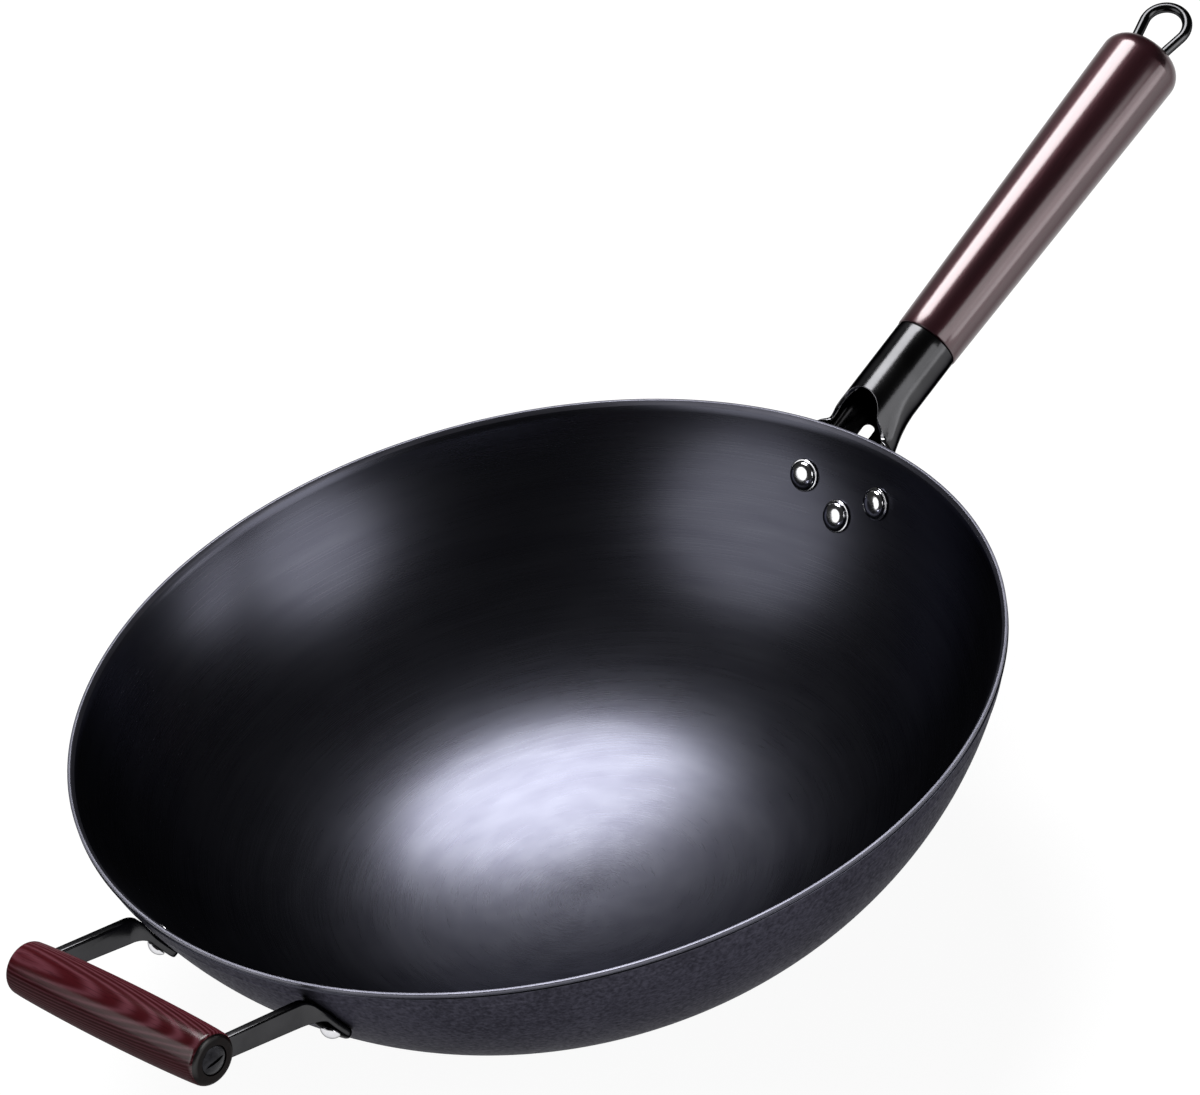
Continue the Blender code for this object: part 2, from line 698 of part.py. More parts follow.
def long_grip(material):
    shoulder = CLEARANCE
    tenon = TUBE_RADIUS - SHEET - CLEARANCE
    end = shoulder + GRIP_LENGTH
    flat = GRIP_END_RADIUS - GRIP_END_ROUNDING
    outline = [
        (0.0, -TENON_LENGTH),
        (tenon - GRIP_EDGE, -TENON_LENGTH),
        (tenon, -TENON_LENGTH + GRIP_EDGE),
        (tenon, shoulder),
        (GRIP_FERRULE_RADIUS - GRIP_EDGE, shoulder),
        (GRIP_FERRULE_RADIUS, shoulder + GRIP_EDGE),
    ]
    swell = end - GRIP_END_ROUNDING
    for share in (0.3, 0.65):
        height = shoulder + (swell - shoulder) * share
        width = GRIP_FERRULE_RADIUS + (GRIP_END_RADIUS - GRIP_FERRULE_RADIUS) * share
        outline.append((width, height))
    outline += arc((flat, swell), GRIP_END_ROUNDING, 0.0, 90.0, 6)
    outline += [(0.0, end)]
    made = add_object("long_grip", turned_mesh("long_grip", outline, GRIP_SEGMENTS), material)
    made.matrix_world = aimed(HANDLE_AXIS, along_handle(SEAM_REACH))
    leg_depth = LOOP_LEG_LENGTH + CLEARANCE
    for name, sign in (("left", 1), ("right", -1)):
        aside = LOOP_OFFSET + sign * LOOP_LEG_ACROSS
        middle = along_handle(SEAM_REACH + end) + loop_side() * aside
        hole = cutter(
            f"loop_{name}_hole",
            LOOP_WIRE_RADIUS + CLEARANCE,
            leg_depth * 2.0,
            aimed(HANDLE_AXIS, middle),
        )
        cut(made, hole)
    place, direction = screw_spot()
    pilot = cutter(
        "grip_screw_pilot",
        SCREW_SHANK_RADIUS + CLEARANCE,
        (SCREW_LENGTH + CLEARANCE) * 2.0,
        aimed(direction, place),
    )
    cut(made, pilot)
    return made


def slotted(outline, name, placement, top, slot_width, slot_depth, reach, material):
    """A turned screw or bolt with a driver slot across the top of its head."""
    made = add_object(name, turned_mesh(name, outline, FASTENER_SEGMENTS), material)
    made.matrix_world = placement
    slot = box_cutter(
        f"{name}_slot",
        (reach * 2.5, slot_width, slot_depth * 2.0),
        placement @ Matrix.Translation((0.0, 0.0, top)),
    )
    cut(made, slot)
    return made


def grip_screw(material):
    place, direction = screw_spot()
    seat = CLEARANCE
    outline = [
        (0.0, -SCREW_LENGTH),
        (SCREW_TIP_RADIUS, -SCREW_LENGTH),
        (SCREW_SHANK_RADIUS, -SCREW_LENGTH + SCREW_SHANK_RADIUS),
        (SCREW_SHANK_RADIUS, seat),
        (SCREW_HEAD_RADIUS, seat),
    ]
    head = dome(SCREW_HEAD_RADIUS, SCREW_HEAD_HEIGHT, SCREW_HEAD_LIP, 4)
    outline += [(radius, seat + height) for radius, height in head[:-1]]
    outline += [(0.0, seat + SCREW_HEAD_HEIGHT)]
    return slotted(
        outline,
        "grip_screw",
        aimed(direction, place),
        seat + SCREW_HEAD_HEIGHT,
        SCREW_SLOT_WIDTH,
        SCREW_SLOT_DEPTH,
        SCREW_HEAD_RADIUS,
        material,
    )


def loop_side():
    """Direction from one leg of the hanging loop to the other."""
    return ACROSS * math.cos(LOOP_ROLL) + HANDLE_TOP * math.sin(LOOP_ROLL)


def loop_line():
    """Middle of the wire as (along the handle from the wood's end, sideways)."""
    spread = math.hypot(LOOP_REACH, LOOP_LEG_ACROSS)
    touch = math.atan2(LOOP_LEG_ACROSS, -LOOP_REACH) - math.acos(LOOP_RING_RADIUS / spread)
    ring = arc((LOOP_REACH, 0.0), LOOP_RING_RADIUS, math.degrees(touch), 0.0, 11)
    half = [(-LOOP_LEG_LENGTH, LOOP_LEG_ACROSS), (CLEARANCE, LOOP_LEG_ACROSS)] + ring
    return half + [(along, -aside) for along, aside in half[-2::-1]]


def hanging_loop(material):
    curve = bpy.data.curves.new("hanging_loop", "CURVE")
    curve.dimensions = "3D"
    curve.bevel_depth = LOOP_WIRE_RADIUS
    curve.bevel_resolution = 2
    curve.use_fill_caps = True
    end = along_handle(SEAM_REACH + CLEARANCE + GRIP_LENGTH)
    side = loop_side()
    middle = end + side * LOOP_OFFSET
    line = [middle + HANDLE_AXIS * along + side * aside for along, aside in loop_line()]
    spline = curve.splines.new("POLY")
    spline.points.add(len(line) - 1)
    for point, place in zip(spline.points, line):
        point.co = (*place, 1.0)
    curve.materials.append(material)
    made = bpy.data.objects.new("hanging_loop", curve)
    bpy.context.scene.collection.objects.link(made)
    return made


# Helper handle


HELPER_FRAME = Matrix.Rotation(HELPER_TURN, 4, "Z")
HELPER_CENTRE = Vector((-RIM_RADIUS - HELPER_REACH, 0.0, BOWL_HEIGHT + HELPER_RISE))
STRAP_ALONG = Vector((math.cos(STRAP_TILT), 0.0, -math.sin(STRAP_TILT)))
STRAP_TALL = Vector((math.sin(STRAP_TILT), 0.0, math.cos(STRAP_TILT)))


def strap_axis(sign):
    """Where the bolt's axis crosses the middle of an arm."""
    return HELPER_CENTRE + ACROSS * sign * strap_plane()


def helper_grip(material):
    """The barrel is bored for the bolt, recessed at both ends, and mortised for the two arms."""
    flat = HELPER_END_RADIUS - HELPER_ROUNDING
    bore = BOLT_RADIUS + CLEARANCE
    recess = BOLT_HEAD_RADIUS + CLEARANCE
    half = HELPER_HALF_LENGTH
    straight = half - HELPER_ROUNDING
    floor = half - BOLT_SEAT_DEPTH
    swell = HELPER_RADIUS - HELPER_END_RADIUS
    outline = [(bore, -floor), (recess, -floor), (recess, -half)]
    outline += arc((flat, -straight), HELPER_ROUNDING, -90.0, 0.0, 4)
    for share in (-0.7, -0.35, 0.0, 0.35, 0.7):
        width = HELPER_END_RADIUS + swell * math.cos(share * math.pi / 2.0) ** HELPER_FULLNESS
        outline.append((width, straight * share))
    outline += arc((flat, straight), HELPER_ROUNDING, 0.0, 90.0, 4)
    outline += [(recess, half), (recess, floor), (bore, floor)]
    made = add_object("helper_grip", turned_mesh("helper_grip", outline, HELPER_SEGMENTS), material)
    made.matrix_world = HELPER_FRAME @ aimed(ACROSS, HELPER_CENTRE)
    for name, sign in (("left", 1), ("right", -1)):
        cut(made, mortise(f"helper_{name}_mortise", sign))
    return made


def mortise(name, sign):
    """Cutter with the outline of an arm's round end, a clearance wider all round."""
    half_height = STRAP_HEIGHT / 2.0 + CLEARANCE
    half_width = STRAP_THICKNESS / 2.0 + CLEARANCE
    outline = arc((0.0, 0.0), half_height, 90.0, 270.0, 12)
    outline += [(2.0 * HELPER_RADIUS, -half_height), (2.0 * HELPER_RADIUS, half_height)]
    middle = strap_axis(sign)
    rings = []
    for side in (-half_width, half_width):
        rings.append(
            [middle + STRAP_ALONG * x + STRAP_TALL * z + ACROSS * side for x, z in outline]
        )
    made = add_object(name, ring_mesh(name, rings))
    made.matrix_world = HELPER_FRAME
    made.hide_render = True
    made.display_type = "WIRE"
    return made


def rounded_section(centre, tall, tall_half, wide, wide_half, edge):
    """Ring of twelve points: a rectangle with rounded corners."""
    edge = min(edge, tall_half * 0.6, wide_half * 0.6)
    corners = ((1, 1), (-1, 1), (-1, -1), (1, -1))
    ring = []
    for up, side in corners:
        turned = [(1.0, 0.0), (0.7, 0.7), (0.0, 1.0)]
        if up * side < 0:
            turned.reverse()
        for a, b in turned:
            height = up * (tall_half - edge + edge * a)
            width = side * (wide_half - edge + edge * b)
            ring.append(centre + tall * height + wide * width)
    return ring


def foot_ring(sign, drop, half_width):
    """Section of the foot where it lies on the wall this far below the rim."""
    place, normal, downwards = foot_point(sign, drop)
    side = foot_side(normal, downwards)
    return rounded_section(place, -normal, FOOT_THICKNESS / 2.0, side, half_width, STRAP_EDGE)


def foot_point(sign, drop):
    """Middle of the foot, the way it faces, and the way it runs down the wall."""
    seat = CLEARANCE + FOOT_THICKNESS / 2.0
    place, normal = wall_spot(-1, sign * strap_plane(), drop, seat)
    below = wall_spot(-1, sign * strap_plane(), drop + MM, seat)[0]
    return place, normal, (below - place).normalized()


def foot_side(normal, downwards):
    """Direction across a foot, towards +Y."""
    side = normal.cross(downwards).normalized()
    return side if side.y > 0.0 else -side


def end_rings(middle):
    """Round end of an arm about the bolt."""
    rings = []
    for share in (-0.995, -0.93, -0.78, -0.5):
        half = STRAP_HEIGHT / 2.0 * math.sqrt(1.0 - share**2)
        centre = middle + STRAP_ALONG * STRAP_HEIGHT / 2.0 * share
        rings.append(
            rounded_section(centre, STRAP_TALL, half, ACROSS, STRAP_THICKNESS / 2.0, STRAP_EDGE)
        )
    return rings


def landing_on_wall(start):
    """Where the middle of the bar would meet the middle of the foot."""
    seat = CLEARANCE + FOOT_THICKNESS / 2.0
    low = 0.0
    high = RIM_RADIUS + HELPER_REACH
    for _ in range(40):
        middle = (low + high) / 2.0
        if off_wall(start + STRAP_ALONG * middle)[0] > seat:
            low = middle
        else:
            high = middle
    return start + STRAP_ALONG * low


def foot_top_drop():
    """How far below the rim an arm's bend ends and its flat foot starts."""
    corner = landing_on_wall(strap_axis(1))
    return BOWL_HEIGHT - corner.z + STRAP_BEND_LENGTH * math.sin(slope_at_height(corner.z))


def bend_rings(sign):
    """The bar turns down to the wall while it is forged flat and wide."""
    corner = landing_on_wall(strap_axis(sign))
    foot_top, normal, downwards = foot_point(sign, foot_top_drop())
    side = foot_side(normal, downwards)
    first = corner - STRAP_ALONG * STRAP_BEND_LENGTH
    pulled_first = first.lerp(corner, STRAP_BEND_PULL)
    pulled_last = foot_top.lerp(corner, STRAP_BEND_PULL)
    rings = []
    for share in steps_between(0.0, 1.0, 7):
        rest = 1.0 - share
        centre = first * rest**3 + pulled_first * 3.0 * share * rest**2
        centre += pulled_last * 3.0 * share**2 * rest + foot_top * share**3
        heading = (pulled_first - first) * rest**2
        heading += (pulled_last - pulled_first) * 2.0 * share * rest
        heading += (foot_top - pulled_last) * share**2
        flattened = share**2 * (3.0 - 2.0 * share)
        wide = ACROSS.lerp(side, flattened).normalized()
        tall = heading.cross(wide).normalized()
        low = STRAP_HEIGHT / 2.0 + (FOOT_THICKNESS - STRAP_HEIGHT) / 2.0 * flattened
        away, facing = off_wall(centre)
        top = min(low, (away - CLEARANCE) / max(-facing.dot(tall), 0.1))
        half_width = STRAP_THICKNESS / 2.0 + (FOOT_WIDTH - STRAP_THICKNESS) / 2.0 * flattened
        middle = centre + tall * (top - low) / 2.0
        rings.append(
            rounded_section(middle, tall, (top + low) / 2.0, wide, half_width, STRAP_EDGE)
        )
    return rings


def strap_sections(sign):
    """Rings along one arm: the round end, the straight bar, the bend and the flat foot."""
    rings = end_rings(strap_axis(sign)) + bend_rings(sign)
    half_width = FOOT_WIDTH / 2.0
    top = foot_top_drop()
    round_start = top + HELPER_RIVET_INSET + FOOT_PAST_RIVET - half_width
    for share in (0.5, 1.0):
        rings.append(foot_ring(sign, top + (round_start - top) * share, half_width))
    for share in (0.35, 0.65, 0.87, 0.98):
        drop = round_start + half_width * share
        rings.append(foot_ring(sign, drop, half_width * math.sqrt(1.0 - share**2)))
    return rings


def helper_strap(name, sign, material):
    made = add_object(name, ring_mesh(name, strap_sections(sign)), material)
    made.matrix_world = HELPER_FRAME
    bolt_hole = cutter(
        f"{name}_bolt_hole",
        BOLT_RADIUS + CLEARANCE,
        STRAP_THICKNESS * 3.0,
        HELPER_FRAME @ aimed(ACROSS, strap_axis(sign)),
    )
    cut(made, bolt_hole)
    rivet_place, normal = helper_rivet_spot(sign)
    rivet_hole = cutter(
        f"{name}_rivet_hole",
        HELPER_RIVET_SHANK_RADIUS + CLEARANCE,
        FOOT_THICKNESS * 6.0,
        HELPER_FRAME @ aimed(normal, rivet_place),
    )
    cut(made, rivet_hole)
    return made


def helper_bolt(material):
    """The head lies in the right end of the barrel, and the tip stands in the nut on the left."""
    seat = HELPER_HALF_LENGTH - BOLT_SEAT_DEPTH + CLEARANCE
    tip = -(seat + NUT_HEIGHT - NUT_SLOT_DEPTH - CLEARANCE)
    head = dome(BOLT_HEAD_RADIUS, BOLT_HEAD_HEIGHT, BOLT_HEAD_LIP, 4)
    outline = [
        (0.0, tip),
        (BOLT_RADIUS, tip),
        (BOLT_RADIUS, seat),
        (BOLT_HEAD_RADIUS, seat),
    ]
    outline += [(radius, seat + height) for radius, height in head[:-1]]
    outline += [(0.0, seat + BOLT_HEAD_HEIGHT)]
    return slotted(
        outline,
        "helper_bolt",
        HELPER_FRAME @ aimed(-ACROSS, HELPER_CENTRE),
        seat + BOLT_HEAD_HEIGHT,
        BOLT_SLOT_WIDTH,
        BOLT_SLOT_DEPTH,
        BOLT_HEAD_RADIUS,
        material,
    )


def helper_nut(material):
    """A round nut with a slot across its face, screwed on the bolt's tip."""
    seat = HELPER_HALF_LENGTH - BOLT_SEAT_DEPTH + CLEARANCE
    bore = BOLT_RADIUS + CLEARANCE
    outline = [
        (bore, 0.0),
        (NUT_RADIUS, 0.0),
        (NUT_RADIUS, NUT_HEIGHT - NUT_EDGE),
        (NUT_RADIUS - NUT_EDGE, NUT_HEIGHT),
        (bore, NUT_HEIGHT),
    ]
    return slotted(
        outline,
        "helper_nut",
        HELPER_FRAME @ aimed(ACROSS, HELPER_CENTRE + ACROSS * seat),
        NUT_HEIGHT,
        NUT_SLOT_WIDTH,
        NUT_SLOT_DEPTH,
        NUT_RADIUS,
        material,
    )


def build():
    remove_old_objects()
    iron = finish_material("dark_cast_iron", (0.018, 0.018, 0.028), 0.34, 0.75)
    black = finish_material("black_painted_steel", (0.012, 0.012, 0.014), 0.38, 0.3)
    lacquer = finish_material("dark_lacquered_wood", (0.055, 0.012, 0.014), 0.25, 0.0)
    red_wood = finish_material("red_brown_wood", (0.11, 0.022, 0.016), 0.3, 0.0)
    bright = finish_material("polished_steel", (0.78, 0.78, 0.8), 0.12, 1.0)
    dark_steel = finish_material("dark_steel", (0.03, 0.03, 0.035), 0.35, 0.9)

    wok_body(iron)
    handle_bracket(black)
    for name, spot in handle_rivet_spots():
        rivet(
            name,
            Matrix.Identity(4),
            spot,
            RIVET_SHANK_RADIUS,
            RIVET_HEAD_RADIUS,
            RIVET_HEAD_HEIGHT,
            RIVET_TAIL_RADIUS,
            RIVET_TAIL_HEIGHT,
            CLEARANCE + SHEET,
            bright,
        )
    long_grip(lacquer)
    grip_screw(dark_steel)
    hanging_loop(black)
    helper_grip(red_wood)
    helper_strap("helper_strap_left", 1, black)
    helper_strap("helper_strap_right", -1, black)
    for name, spot in helper_rivet_spots():
        rivet(
            name,
            HELPER_FRAME,
            spot,
            HELPER_RIVET_SHANK_RADIUS,
            HELPER_RIVET_HEAD_RADIUS,
            HELPER_RIVET_HEAD_HEIGHT,
            HELPER_RIVET_TAIL_RADIUS,
            HELPER_RIVET_TAIL_HEIGHT,
            CLEARANCE + FOOT_THICKNESS,
            bright,
        )
    helper_bolt(dark_steel)
    helper_nut(dark_steel)


build()
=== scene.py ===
"""The look of a cast iron wok with a long wooden handle and a short wooden helper handle.

Metres, +Z up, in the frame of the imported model: the origin is the middle of the flat base and
+X runs out along the long handle. Each turned piece has its own axis as its local Z, so that
brush marks and wood grain follow the piece.
"""

import math

import bmesh
import bpy
from mathutils import Matrix, Vector


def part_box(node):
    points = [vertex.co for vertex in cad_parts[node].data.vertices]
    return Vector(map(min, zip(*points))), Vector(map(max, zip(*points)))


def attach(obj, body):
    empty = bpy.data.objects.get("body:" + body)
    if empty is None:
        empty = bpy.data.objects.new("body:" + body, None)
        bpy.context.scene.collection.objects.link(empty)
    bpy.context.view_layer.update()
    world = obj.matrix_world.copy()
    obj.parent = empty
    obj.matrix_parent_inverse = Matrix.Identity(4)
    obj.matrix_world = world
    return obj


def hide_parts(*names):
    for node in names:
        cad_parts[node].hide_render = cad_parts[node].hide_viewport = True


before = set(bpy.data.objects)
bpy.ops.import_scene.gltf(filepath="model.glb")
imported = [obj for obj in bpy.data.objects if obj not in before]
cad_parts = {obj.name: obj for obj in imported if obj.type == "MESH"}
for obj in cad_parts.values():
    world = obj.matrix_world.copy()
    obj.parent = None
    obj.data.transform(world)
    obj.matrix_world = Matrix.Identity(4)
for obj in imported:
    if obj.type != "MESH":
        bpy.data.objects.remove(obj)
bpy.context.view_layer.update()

BODY = "root"
MM = 0.001
ACROSS = Vector((0.0, 1.0, 0.0))
UPWARDS = Vector((0.0, 0.0, 1.0))
AT_ORIGIN = Matrix.Identity(4)

# How finely curves are divided
SMOOTH_ANGLE = math.radians(35.0)  # sharper bends than this are shaded as edges
CURVE_STEPS = 12
LONG_CURVE_STEPS = 20
CORNER_STEPS = 3
SECTION_CORNER_STEPS = 5
SHARPEST_KEPT = 25.0  # corners that turn by fewer degrees aren't rounded
CORNER_SHARE = 0.45  # most of a side's length that one rounded corner may take
HALVINGS = 40

# Bowl
RIM_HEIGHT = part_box("wok_body")[1].z
RIM_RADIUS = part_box("wok_body")[1].x
RIM_SLOPE = math.radians(72.0)
WALL = 2.4 * MM
BASE_RADIUS = 52.0 * MM
BASE_SLOPE = math.radians(15.0)
INNER_FLAT_RADIUS = 4.0 * MM
FLOOR_THICKNESS = 3.0 * MM
RIM_STEP_HEIGHT = 2.2 * MM
RIM_STEP_DEPTH = 0.6 * MM
RIM_ROUNDING = 0.35 * MM
LIP_FLAT = 1.2 * MM
LIP_CHAMFER = 1.5 * MM
ROLLED_LINE_DROP = 8.2 * MM
ROLLED_LINE_HALF_WIDTH = 1.1 * MM
ROLLED_LINE_RELIEF = 0.14 * MM
ROLLED_LINE_STEPS = 10
BOWL_SEGMENTS = 288
ARC_STEPS = 30

# Long handle
HANDLE_TILT = math.radians(19.0)
HANDLE_DROP = 2.9 * MM
TUBE_RADIUS = 12.5 * MM
SHEET = 1.6 * MM
SEAM_REACH = 46.8 * MM
CLEARANCE = 0.3 * MM

# Bracket: where its sides open out, how it bends onto the wall, and the outline of its petals
OPENING_REACH = 23.0 * MM
OPENING = math.radians(18.0)
OPENING_RADIUS = 50.0 * MM
OPENING_SIDE = math.radians(112.0)
OPENING_FOCUS = 8
FLARE_RADIUS = 6.5 * MM
FLARE_TOP_RADIUS = 1.0 * MM
FLARE_FULL_ANGLE = math.radians(110.0)
FLARE_POWER = 6
ARCH_REACH = 15.0 * MM
ARCH_FALL = 27.0 * MM
ARCH_POWER = 2.5
SLOT_ANGLE = math.radians(151.0)
SLOT_REACH = 12.5 * MM
SLOT_HALF_WIDTH = 2.4 * MM
SLOT_FIRST_TURN = math.radians(4.0)  # the round end starts just past its tip
SLOT_CUT = 1.5  # sheets that the cut reaches either way
NOTCH_SHARE = 0.3
WING_SHOULDER_ACROSS = 12.6 * MM
WING_SHOULDER_DROP = 8.4 * MM
WING_SHOULDER_RADIUS = 9.6 * MM
PAD_RADIUS = 8.6 * MM
TONGUE_ROOT_DROP = 18.0 * MM
TONGUE_ROOT_RADIUS = 7.4 * MM
BEND_LATEST = 0.93
SHEET_EDGE = 0.3 * MM  # rounding of the sheet's edges
PETAL_SEGMENTS = 112
OUTLINE_SAMPLES = 540
OUTLINE_STEP = 0.25 * MM
OUTLINE_ROUNDS = 16

# Rivets
RIVET_ACROSS = 18.6 * MM
RIVET_DROP = 20.6 * MM
LOWER_RIVET_DROP = 30.4 * MM
# Each rivet's shank radius, head radius, head height, tail radius and tail height
LARGE_RIVET = [size * MM for size in (2.6, 6.2, 3.4, 4.6, 2.2)]
SMALL_RIVET = [size * MM for size in (1.9, 4.6, 1.3, 3.6, 2.6)]
RIVET_LIP = 0.7 * MM
RIVET_SEGMENTS = 64
RIVET_EDGE = 0.25 * MM
BUTTON_FULLNESS = 0.8  # 1 makes the heads elliptical, and less makes them flatter on top

# Long grip
GRIP_LENGTH = 149.0 * MM
GRIP_FERRULE_RADIUS = 12.8 * MM
GRIP_END_RADIUS = 15.8 * MM
GRIP_END_ROUNDING = 8.5 * MM
GRIP_EDGE = 0.5 * MM
TENON_LENGTH = 22.0 * MM
GRIP_SEGMENTS = 96
GRIP_STEPS = 24

# Hanging loop
LOOP_WIRE_RADIUS = 2.0 * MM
LOOP_RING_RADIUS = 8.5 * MM
LOOP_LEG_ACROSS = 6.2 * MM
LOOP_REACH = 12.4 * MM
LOOP_OFFSET = 1.6 * MM
LOOP_LEG_LENGTH = 18.0 * MM
LOOP_ROLL = math.radians(16.0)
LOOP_RING_STEPS = 40
LOOP_WIRE_RESOLUTION = 8

# Helper handle
HELPER_TURN = math.radians(1.85)
HELPER_REACH = 37.5 * MM
HELPER_RISE = 0.8 * MM
HELPER_HALF_LENGTH = 47.6 * MM
HELPER_RADIUS = 10.8 * MM
HELPER_END_RADIUS = 9.7 * MM
HELPER_ROUNDING = 2.6 * MM
HELPER_FULLNESS = 0.7  # 1 swells the barrel like a cosine, and less makes it fuller
HELPER_SEGMENTS = 80
STRAP_TILT = math.radians(17.5)
STRAP_INSET = 4.7 * MM
STRAP_THICKNESS = 3.9 * MM
STRAP_HEIGHT = 9.2 * MM
STRAP_EDGE = 0.9 * MM
STRAP_EDGE_SHARE = 0.6  # most of a section's half width that its rounding may take
TIP_TURN = math.radians(84.0)  # the rings of a round end stop just short of its tip
END_TURN = math.radians(30.0)  # the last ring of a round end, before it runs on into the bar
END_STEPS = 9
FOOT_STEPS = 8
STRAP_BEND_LENGTH = 6.0 * MM
STRAP_BEND_PULL = 0.6
FOOT_THICKNESS = 2.8 * MM
FOOT_WIDTH = 9.4 * MM
FOOT_PAST_RIVET = 7.4 * MM
HELPER_RIVET_INSET = 6.25 * MM

# Screw in the tube, bolt and nut of the helper handle
SCREW_INSET = 11.0 * MM
SCREW_SHANK_RADIUS = 1.7 * MM
SCREW_HEAD_RADIUS = 3.4 * MM
SCREW_HEAD_HEIGHT = 1.8 * MM
SCREW_HEAD_LIP = 0.7 * MM
SCREW_TIP_RADIUS = 0.7 * MM
SCREW_LENGTH = 9.0 * MM
SCREW_SLOT = (0.9 * MM, 0.8 * MM)
BOLT_RADIUS = 2.0 * MM
BOLT_HEAD_RADIUS = 5.2 * MM
BOLT_HEAD_HEIGHT = 1.8 * MM
BOLT_HEAD_LIP = 0.6 * MM
BOLT_SLOT = (1.2 * MM, 0.8 * MM)
BOLT_SEAT_DEPTH = 1.2 * MM
NUT_RADIUS = 4.6 * MM
NUT_HEIGHT = 1.6 * MM
NUT_SLOT = (1.2 * MM, 0.7 * MM)
BOLT_SEAT = HELPER_HALF_LENGTH - BOLT_SEAT_DEPTH + CLEARANCE
SLOT_OVERRUN = 2.5  # length of the cut for a driver slot, in head radii
FASTENER_EDGE = 0.25 * MM
FASTENER_SEGMENTS = 48

# Floor and surroundings
FLOOR_GAP = 0.1 * MM  # keeps the floor's plane clear of the flat base
FLOOR_SIZE = 30.0
FLOOR_GLOW = 0.93
SKY_LIGHT = 0.025

# Camera, set to the photograph's 1200 x 1095 pixels
PICTURE_WIDTH = 1200.0
FOCAL_PIXELS = 5635.08
CAMERA_DISTANCE = 2.0
CAMERA_AZIMUTH = -127.81  # this and the elevation are in degrees, as for the lamps
CAMERA_ELEVATION = 34.93
SENSOR_WIDTH = 36.0
CLIP_START = 0.05
CLIP_END = 100.0
CAMERA_ROLL = math.radians(-13.33)
CAMERA_ASIDE = 23.64 * MM
CAMERA_UP = 46.1 * MM


# Shapes


def steps_between(low, high, steps):
    return [low + (high - low) * i / steps for i in range(steps + 1)]


def smoothed(mesh):
    """Shades a mesh smooth up to its sharp edges."""
    mesh.shade_smooth()
    mesh.set_sharp_from_angle(angle=SMOOTH_ANGLE)
    return mesh


def finish_mesh(name, bm):
    bmesh.ops.recalc_face_normals(bm, faces=bm.faces)
    mesh = bpy.data.meshes.new(name)
    bm.to_mesh(mesh)
    bm.free()
    return smoothed(mesh)


def new_object(name, data):
    made = bpy.data.objects.new(name, data)
    bpy.context.scene.collection.objects.link(made)
    return made


def add_piece(node, data, materials, placement=AT_ORIGIN, name=None):
    """A visible piece on the body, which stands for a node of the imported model."""
    made = new_object(name or node + "_fine", data)
    for material in materials:
        data.materials.append(material)
    made.matrix_world = placement
    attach(made, BODY)
    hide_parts(node)
    return made


def aimed(direction, place):
    """A placement whose local Z points along a direction."""
    return Matrix.Translation(place) @ direction.to_track_quat("Z", "Y").to_matrix().to_4x4()


def arc(centre, radius, start, end, steps):
    """Points of an arc, from one angle to another in degrees, both ends included."""
    turns = [math.radians(degrees) for degrees in steps_between(start, end, steps)]
    return [(centre[0] + radius * math.cos(t), centre[1] + radius * math.sin(t)) for t in turns]


def last_clear(clear, high):
    """The farthest distance up to which clear(distance) holds, found by halving."""
    low = 0.0
    for _ in range(HALVINGS):
        middle = (low + high) / 2.0
        if clear(middle):
            low = middle
        else:
            high = middle
    return low


def rounded(outline, radius):
    """The outline with its corners rounded, as far as the sides beside them allow."""
    made = [outline[0]]
    for before, corner, after in zip(outline, outline[1:], outline[2:]):
        middle = Vector(corner)
        back = Vector(before) - middle
        onward = Vector(after) - middle
        turn = math.pi - back.angle(onward, math.pi)
        if math.degrees(turn) < SHARPEST_KEPT:
            made.append(corner)
            continue
        trim = radius * math.tan(turn / 2.0)
        trim = min(trim, CORNER_SHARE * back.length, CORNER_SHARE * onward.length)
        start = middle + back.normalized() * trim
        end = middle + onward.normalized() * trim
        for share in steps_between(0.0, 1.0, CORNER_STEPS):
            point = start * (1.0 - share) ** 2 + middle * 2.0 * share * (1.0 - share)
            made.append(tuple(point + end * share**2))
    made.append(outline[-1])
    return made


def turned(name, outline, segments, zone=None):
    """Turns (radius, height) points round Z. zone gives the finish between two of the points."""
    bm = bmesh.new()
    rings = []
    for radius, height in outline:
        count = segments if radius > 0.0 else 1
        angles = [math.tau * i / count for i in range(count)]
        rings.append(
            [bm.verts.new((radius * math.cos(a), radius * math.sin(a), height)) for a in angles]
        )
    is_tube = outline[0][0] > 0.0 and outline[-1][0] > 0.0
    for first in range(len(rings) if is_tube else len(rings) - 1):
        second = (first + 1) % len(rings)
        low = rings[first]
        high = rings[second]
        material = zone(outline[first], outline[second]) if zone else 0
        for i in range(segments):
            j = (i + 1) % segments
            corners = [low[i % len(low)], low[j % len(low)], high[j % len(high)], high[i % len(high)]]
            corners = list(dict.fromkeys(corners))
            if len(corners) > 2:
                bm.faces.new(corners).material_index = material
    return finish_mesh(name, bm)


def take_away(piece, mesh, placement=AT_ORIGIN):
    """Cuts a hidden shape out of a piece, and leaves the result in the piece's mesh."""
    tool = new_object(mesh.name, mesh)
    tool.matrix_world = placement
    boolean = piece.modifiers.new(mesh.name, "BOOLEAN")
    boolean.operation = "DIFFERENCE"
    boolean.solver = "EXACT"
    boolean.object = tool
    bpy.context.view_layer.update()
    evaluated = piece.evaluated_get(bpy.context.evaluated_depsgraph_get())
    result = bpy.data.meshes.new_from_object(evaluated)
    piece.modifiers.remove(boolean)
    piece.data = result
    bpy.data.objects.remove(tool)


def drill(piece, radius, depth, placement):
    """Bores a round hole along the placement's Z."""
    bm = bmesh.new()
    bmesh.ops.create_cone(
        bm, cap_ends=True, segments=FASTENER_SEGMENTS, radius1=radius, radius2=radius, depth=depth
    )
    take_away(piece, finish_mesh("drill", bm), placement)


